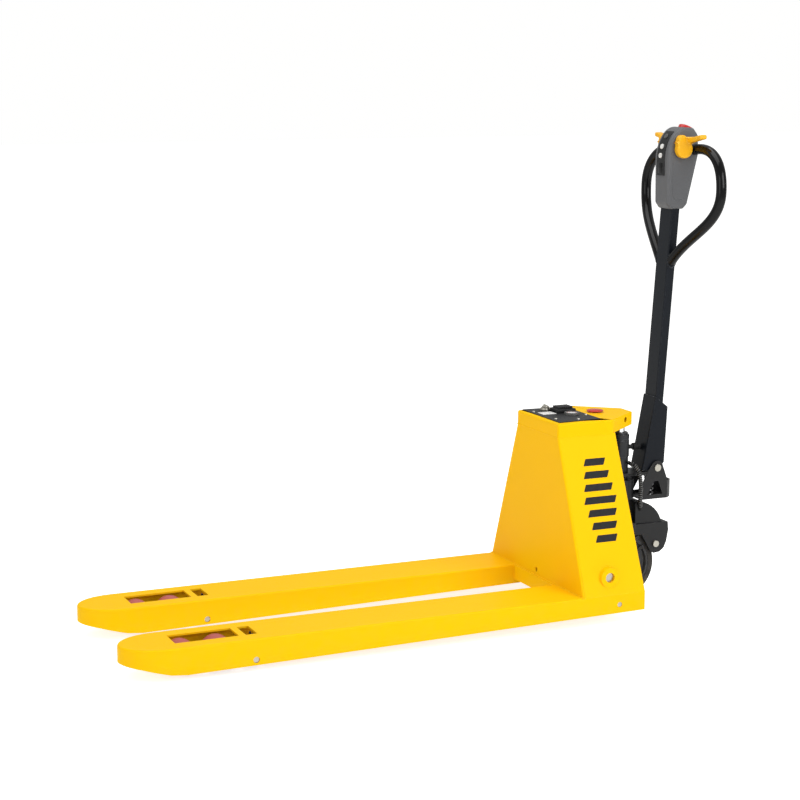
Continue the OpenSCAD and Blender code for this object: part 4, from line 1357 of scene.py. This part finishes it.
@dataclass
class Tiller:
    """The tiller's bracket, stem and handle loop."""

    bench: Bench
    bracket_wall: float = 0.004
    bracket_fold: float = 0.004
    loop_radius: float = 0.014
    bead: float = 0.0035

    def build(self) -> None:
        """Models the bracket, the stem, the loop and its welds."""
        self.bracket()
        stem = self.bench.copy("tiller_stem")
        weigh_edges(stem, lambda middle, way: 1.0 if abs(way.z) > 0.9 else 0.25)
        soften(stem, 0.004, 4, weighted=True)
        self.bench.hang(stem, "tiller", "slate_paint", "tiller_stem")
        self.loop()

    def bracket(self) -> None:
        """Models the folded bracket: a solid with rounded folds, hollowed from the rear."""
        low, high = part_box("tiller_bracket")
        pin_low, pin_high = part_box("pivot_pins")
        pivot = (pin_low + pin_high) / 2
        front = [self.bench.at(x, 0, z) for x, z in ((308, 353), (323, 432), (346, 556))]
        rear = [self.bench.at(x, 0, z) for x, z in ((385, 526), (377, 372))]
        turns = [math.radians(20 - 15 * step) for step in range(13)]
        foot = [(pivot.x + 0.020 * math.cos(a), pivot.z + 0.020 * math.sin(a)) for a in turns]
        outline = [*((spot.x, spot.z) for spot in (*front, *rear)), *foot]
        piece = prism("tiller_bracket_finished", outline, low.y, high.y, 1)
        with editing(piece, "EDGE") as mesh:
            for edge in mesh.edges:
                ends = [vert.co for vert in edge.verts]
                sideways = abs(ends[0].y - ends[1].y) > 0.001
                edge.select_set(not sideways and all(
                    any((co.xz - spot.xz).length < 0.0002 for spot in front) for co in ends))
            bmesh.update_edit_mesh(piece.data)
            bpy.ops.mesh.bevel(offset=self.bracket_fold, segments=4, affect="EDGES")
        inside = [(312, 330), (312, 353), (327, 431), (349.5, 548), (383, 522), (420, 522),
                  (420, 330)]
        hollow = [(spot.x, spot.z) for spot in (self.bench.at(x, 0, z) for x, z in inside)]
        carve(piece, prism("bracket_hollow", hollow, low.y + self.bracket_wall,
                           high.y - self.bracket_wall, 1))
        bore_across(piece, pivot, -0.1, 0.2, 0.00805)
        shade_cut(piece)
        self.bench.hang(piece, "tiller", "slate_paint", "tiller_bracket")

    def loop(self) -> None:
        """Bends the handle loop on both sides and welds its feet to the stem."""
        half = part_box("handle_loop")[1].y - self.loop_radius
        at = self.bench.at
        top, wide, foot = at(450, 32, 1224), at(436, half / MM, 1120), at(387.97, 28, 925)
        upper = [top, top + Vector((0, 0.090, 0.016)), wide + Vector((0.002, 0, 0.080)), wide]
        lower = [wide, wide - Vector((0.002, 0, 0.090)), foot + Vector((0.010, 0.070, 0.080)),
                 foot]
        steps = 28
        path = [bezier(upper, index / steps) for index in range(steps + 1)]
        path += [bezier(lower, index / steps) for index in range(1, steps + 1)]
        arms, beads = [], []
        for side in (-1, 1):
            spots = [Vector((spot.x, side * spot.y, spot.z)) for spot in path]
            arms.append(tube(f"loop_arm_{side}", spots, self.loop_radius, 8))
            beads.append(self._weld(spots[-5], spots[-1], side))
        self.bench.hang(join("handle_loop_tube", arms), "tiller", "gloss_black", "handle_loop")
        self.bench.hang(join("handle_welds", beads), "tiller", "slate_paint")

    def _weld(self, start: Vector, end: Vector, side: int) -> Piece:
        """Lays a weld bead round the loop's foot, where it meets the stem.

        Args:
            start: A point on the loop's middle line, above the foot.
            end: The end of the loop's middle line.
            side: Which side of the stem, -1 or 1.

        Returns:
            The bead.
        """
        way = (start - end).normalized()
        stem_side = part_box("tiller_stem")[1].y
        reach = (stem_side - abs(end.y)) / max(abs(way.y), 0.2)
        centre = end + way * reach
        centre.y = side * stem_side
        path = []
        count = 40
        stretch = 1.0 / max(0.35, abs(way.y))
        for index in range(count + 1):
            angle = 2 * math.pi * index / count
            ripple = 1.0 + 0.03 * math.sin(angle * 11)
            path.append(centre + Vector((math.cos(angle) * self.loop_radius * 0.93 * ripple, 0,
                                         math.sin(angle) * self.loop_radius * stretch * 0.93)))
        return tube(f"weld_{side}", path, self.bead * 0.6, 2)


@dataclass
class ControlHead:
    """The grey control head: shell, strip, buttons, belly button and butterfly knobs."""

    bench: Bench
    shell_round: float = 0.008
    corner_round: float = 0.0035
    front: float = 366.0
    reach: float = 55.0
    brow: float = 1195.0
    rise: float = 90.0
    button_angles: tuple[float, ...] = (9.0, 25.0, 46.0)
    line_radius: float = 0.0011
    throttle_at: Point = (409.0, 0.0, 1227.0)
    button_at: Point = (434.0, 0.0, 1262.0)
    button_rim: float = 0.0215
    button_lean: float = 24.0

    def build(self) -> None:
        """Models the head and everything on it."""
        self.shell()
        self.strip()
        self.buttons()
        self.belly()
        self.knobs()

    def _face(self, angle: float) -> tuple[Vector, float]:
        """Finds a point on the curved front.

        Args:
            angle: How far up the curve it stands, in degrees.

        Returns:
            The point, and the lean of the surface's inward normal in radians.
        """
        across, up = math.cos(math.radians(angle)), math.sin(math.radians(angle))
        spot = self.bench.at(self.front + self.reach * (1 - across), 0,
                             self.brow + self.rise * up)
        return spot, math.atan2(across / self.reach, -up / self.rise)

    def _drill(self, piece: Piece, spot: Vector, lean: float, radius: float, depth: float,
               start: float = -0.006) -> None:
        """Drills a hole that leans forwards or back.

        Args:
            piece: The piece.
            spot: Where its depth counts from.
            lean: Its lean from upright, in radians.
            radius: Its radius.
            depth: How far it runs past the spot.
            start: Where it starts, along its own axis.
        """
        tool = turn("head_drill", [(0, start), (radius, start), (radius, depth), (0, depth)],
                    (0, 0, 0), sides=64)
        tool.rotation_euler = (0, lean, 0)
        tool.location = spot
        settle(tool)
        carve(piece, tool)

    def shell(self) -> None:
        """Models the shell as a rounded solid, drills it and raises the line on its sides."""
        low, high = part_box("head_shell")
        curve = [self._face(5.0 * step)[0] for step in range(19)]
        corners = [self.bench.at(x, 0, z) for x, z in ((447, 1283), (462, 1264), (465, 1215),
                                                       (432, 1078), (420, 1066), (380, 1066),
                                                       (368, 1082))]
        outline = [(spot.x, spot.z) for spot in (*curve, *corners)]
        shell = prism("head_shell_finished", outline, low.y, high.y, 1)
        with editing(shell, "EDGE") as mesh:
            for edge in mesh.edges:
                first, second = (vert.co for vert in edge.verts)
                corner = any((first.xz - spot.xz).length < 0.0002 for spot in corners)
                edge.select_set(abs(first.y - second.y) > 0.001 and corner)
            bmesh.update_edit_mesh(shell.data)
            bpy.ops.mesh.bevel(offset=self.corner_round, segments=3, affect="EDGES")
        with editing(shell, "EDGE") as mesh:
            for edge in mesh.edges:
                first, second = (vert.co for vert in edge.verts)
                edge.select_set(abs(first.y - second.y) < 0.0001)
            bmesh.update_edit_mesh(shell.data)
            bpy.ops.mesh.bevel(offset=self.shell_round, segments=5, affect="EDGES")
        for angle in self.button_angles:
            spot, lean = self._face(angle)
            self._drill(shell, spot, lean, 0.00706, 0.020)
        self._drill(shell, self.bench.at(*self.button_at), math.radians(self.button_lean),
                    0.02206, 0.045, -0.010)
        bore_across(shell, self.bench.at(*self.throttle_at), -0.1, 0.2, 0.00606)
        shade_cut(shell)
        self.bench.hang(shell, "tiller", "grey_plastic", "head_shell")
        lines = []
        for side in (-1, 1):
            y = side * (high.y / MM - 0.1)
            route = [(383, y, 1196), (383, y, 1150), (383.5, y, 1112), (386, y, 1099),
                     (394, y, 1090), (404, y, 1088), (415, y, 1091)]
            lines.append(tube(f"side_line_{side}", [self.bench.at(*spot) for spot in route],
                              self.line_radius, 3, curved=True))
        self.bench.hang(join("head_side_lines", lines), "tiller", "grey_plastic")

    def strip(self) -> None:
        """Rounds the dark strip and sets the display window in it."""
        strip = soften(self.bench.copy("control_strip"), 0.0007)
        self.bench.hang(strip, "tiller", "black_plastic", "control_strip")
        low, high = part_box("control_strip")
        window = add_block("display_window", (low.x - 0.0003, -0.012, low.z + 0.006),
                           (low.x + 0.0010, 0.012, low.z + 0.034), 0.0006, 2)
        self.bench.hang(window, "tiller", "gloss_black")

    def buttons(self) -> None:
        """Models the push buttons on the front, dished and rounded."""
        for node, body in (("button_up", "up_button"), ("button_down", "down_button"),
                           ("button_horn", "horn_button")):
            cap = soften(self.bench.copy(node), 0.0014, 3)
            slot = "white_plastic" if node != "button_horn" else "motor_grey"
            self.bench.hang(cap, body, slot, node)

    def belly(self) -> None:
        """Models the red belly button with its dome, leaning to the rear."""
        rim = self.button_rim
        outline = [(0, 0.0045), (rim, 0.0045), (rim, 0.0228), (rim - 0.0006, 0.0240),
                   (rim - 0.0022, 0.0253), (rim - 0.0055, 0.0266), (rim - 0.0110, 0.0278),
                   (0, 0.0286)]
        button = turn("belly_button_cap", outline, (0, 0, 0), sides=64)
        button.rotation_euler = (0, math.radians(self.button_lean), 0)
        button.location = self.bench.at(*self.button_at)
        settle(button)
        self.bench.hang(button, "belly", "red_plastic", "belly_button")

    def knobs(self) -> None:
        """Rounds the two butterfly knobs and their shaft."""
        knobs = self.bench.copy("throttle_lever")
        soften(knobs, 0.0042, 4)
        self.bench.hang(knobs, "throttle", "yellow_plastic", "throttle_lever")


@dataclass
class Studio:
    """The plain floor, the soft lights and the camera."""

    azimuth: float = -23.56
    elevation: float = 9.808
    distance: float = 5.0798
    lens: float = 88.1
    aim_x: float = -0.4018
    aim_z: float = 0.5935
    ambient: float = 0.50

    def build(self, heel: float) -> None:
        """Sets up floor, lights and camera.

        Args:
            heel: Where the cowl's front face stands.
        """
        self._floor()
        self._lights()
        self._camera(Vector((self.aim_x + heel, 0.0, self.aim_z)))

    @staticmethod
    def _floor() -> None:
        """Lays the pale floor."""
        clear_selection()
        bpy.ops.mesh.primitive_plane_add(size=60, location=(0, 0, -0.0002))
        floor = bpy.context.object
        floor.name = "studio_floor"
        settle(floor)
        material = bpy.data.materials.new("studio_floor")
        material.use_nodes = True
        shader = material.node_tree.nodes["Principled BSDF"]
        shader.inputs["Base Color"].default_value = (0.88, 0.88, 0.87, 1)
        shader.inputs["Emission Color"].default_value = (1.0, 1.0, 0.99, 1)
        seen = material.node_tree.nodes.new("ShaderNodeLightPath")
        glow = material.node_tree.nodes.new("ShaderNodeMapRange")
        glow.inputs["To Min"].default_value = 0.22
        glow.inputs["To Max"].default_value = 0.75
        material.node_tree.links.new(seen.outputs["Is Camera Ray"], glow.inputs["Value"])
        material.node_tree.links.new(glow.outputs["Result"], shader.inputs["Emission Strength"])
        shader.inputs["Roughness"].default_value = 0.9
        shader.inputs["Specular IOR Level"].default_value = 0.1
        floor.data.materials.append(material)

    @staticmethod
    def _light(name: str, place: Point, target: Point, size: float, power: float) -> None:
        """Hangs a square soft light.

        Args:
            name: The light's name.
            place: Where it hangs.
            target: What it looks at.
            size: Its side.
            power: Its power in watts.
        """
        lamp = bpy.data.lights.new(name, "AREA")
        lamp.shape = "SQUARE"
        lamp.size = size
        lamp.energy = power
        holder = bpy.data.objects.new(name, lamp)
        holder.location = place
        way = Vector(target) - Vector(place)
        holder.rotation_euler = way.to_track_quat("-Z", "Y").to_euler()
        bpy.context.scene.collection.objects.link(holder)

    def _lights(self) -> None:
        """Hangs the key, fill and rim lights and sets the pale world."""
        world = bpy.data.worlds.new("studio_world")
        world.use_nodes = True
        background = world.node_tree.nodes["Background"]
        background.inputs["Color"].default_value = (1.0, 1.0, 0.995, 1)
        seen = world.node_tree.nodes.new("ShaderNodeLightPath")
        strength = world.node_tree.nodes.new("ShaderNodeMapRange")
        strength.inputs["To Min"].default_value = self.ambient
        strength.inputs["To Max"].default_value = 1.0
        world.node_tree.links.new(seen.outputs["Is Camera Ray"], strength.inputs["Value"])
        world.node_tree.links.new(strength.outputs["Result"], background.inputs["Strength"])
        bpy.context.scene.world = world
        self._light("key_light", (1.6, -3.6, 2.6), (0.2, 0, 0.4), 2.4, 90)
        self._light("fill_light", (-4.2, -2.0, 2.2), (0.0, 0, 0.4), 3.0, 46)
        self._light("top_light", (0.0, 0.6, 4.2), (0.0, 0, 0.3), 3.2, 80)

    def _camera(self, aim: Vector) -> None:
        """Puts the camera on its line of sight."""
        data = bpy.data.cameras.new("studio_camera")
        data.lens = self.lens
        data.sensor_width = 36.0
        data.clip_end = 200.0
        azimuth, elevation = math.radians(self.azimuth), math.radians(self.elevation)
        back = Vector((math.sin(azimuth) * math.cos(elevation),
                       -math.cos(azimuth) * math.cos(elevation), math.sin(elevation)))
        camera = bpy.data.objects.new("studio_camera", data)
        camera.location = aim + back * self.distance
        camera.rotation_euler = (-back).to_track_quat("-Z", "Y").to_euler()
        bpy.context.scene.collection.objects.link(camera)
        bpy.context.scene.camera = camera
        bpy.context.scene.view_settings.view_transform = "Standard"


def main() -> None:
    """Builds the truck's looks in order."""
    logging.basicConfig(level=logging.INFO, format="%(name)s: %(message)s")
    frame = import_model()
    bench = Bench(frame, PaintShop())
    Studio().build(bench.heel)
    bench.dress_nodes()
    for assembly in (Forks(bench), Cowl(bench), TopPanel(bench), Linkage(bench),
                     DriveUnit(bench), Tiller(bench), ControlHead(bench)):
        assembly.build()
        log.info("%s done", type(assembly).__name__)


if __name__ == "__main__":
    main()
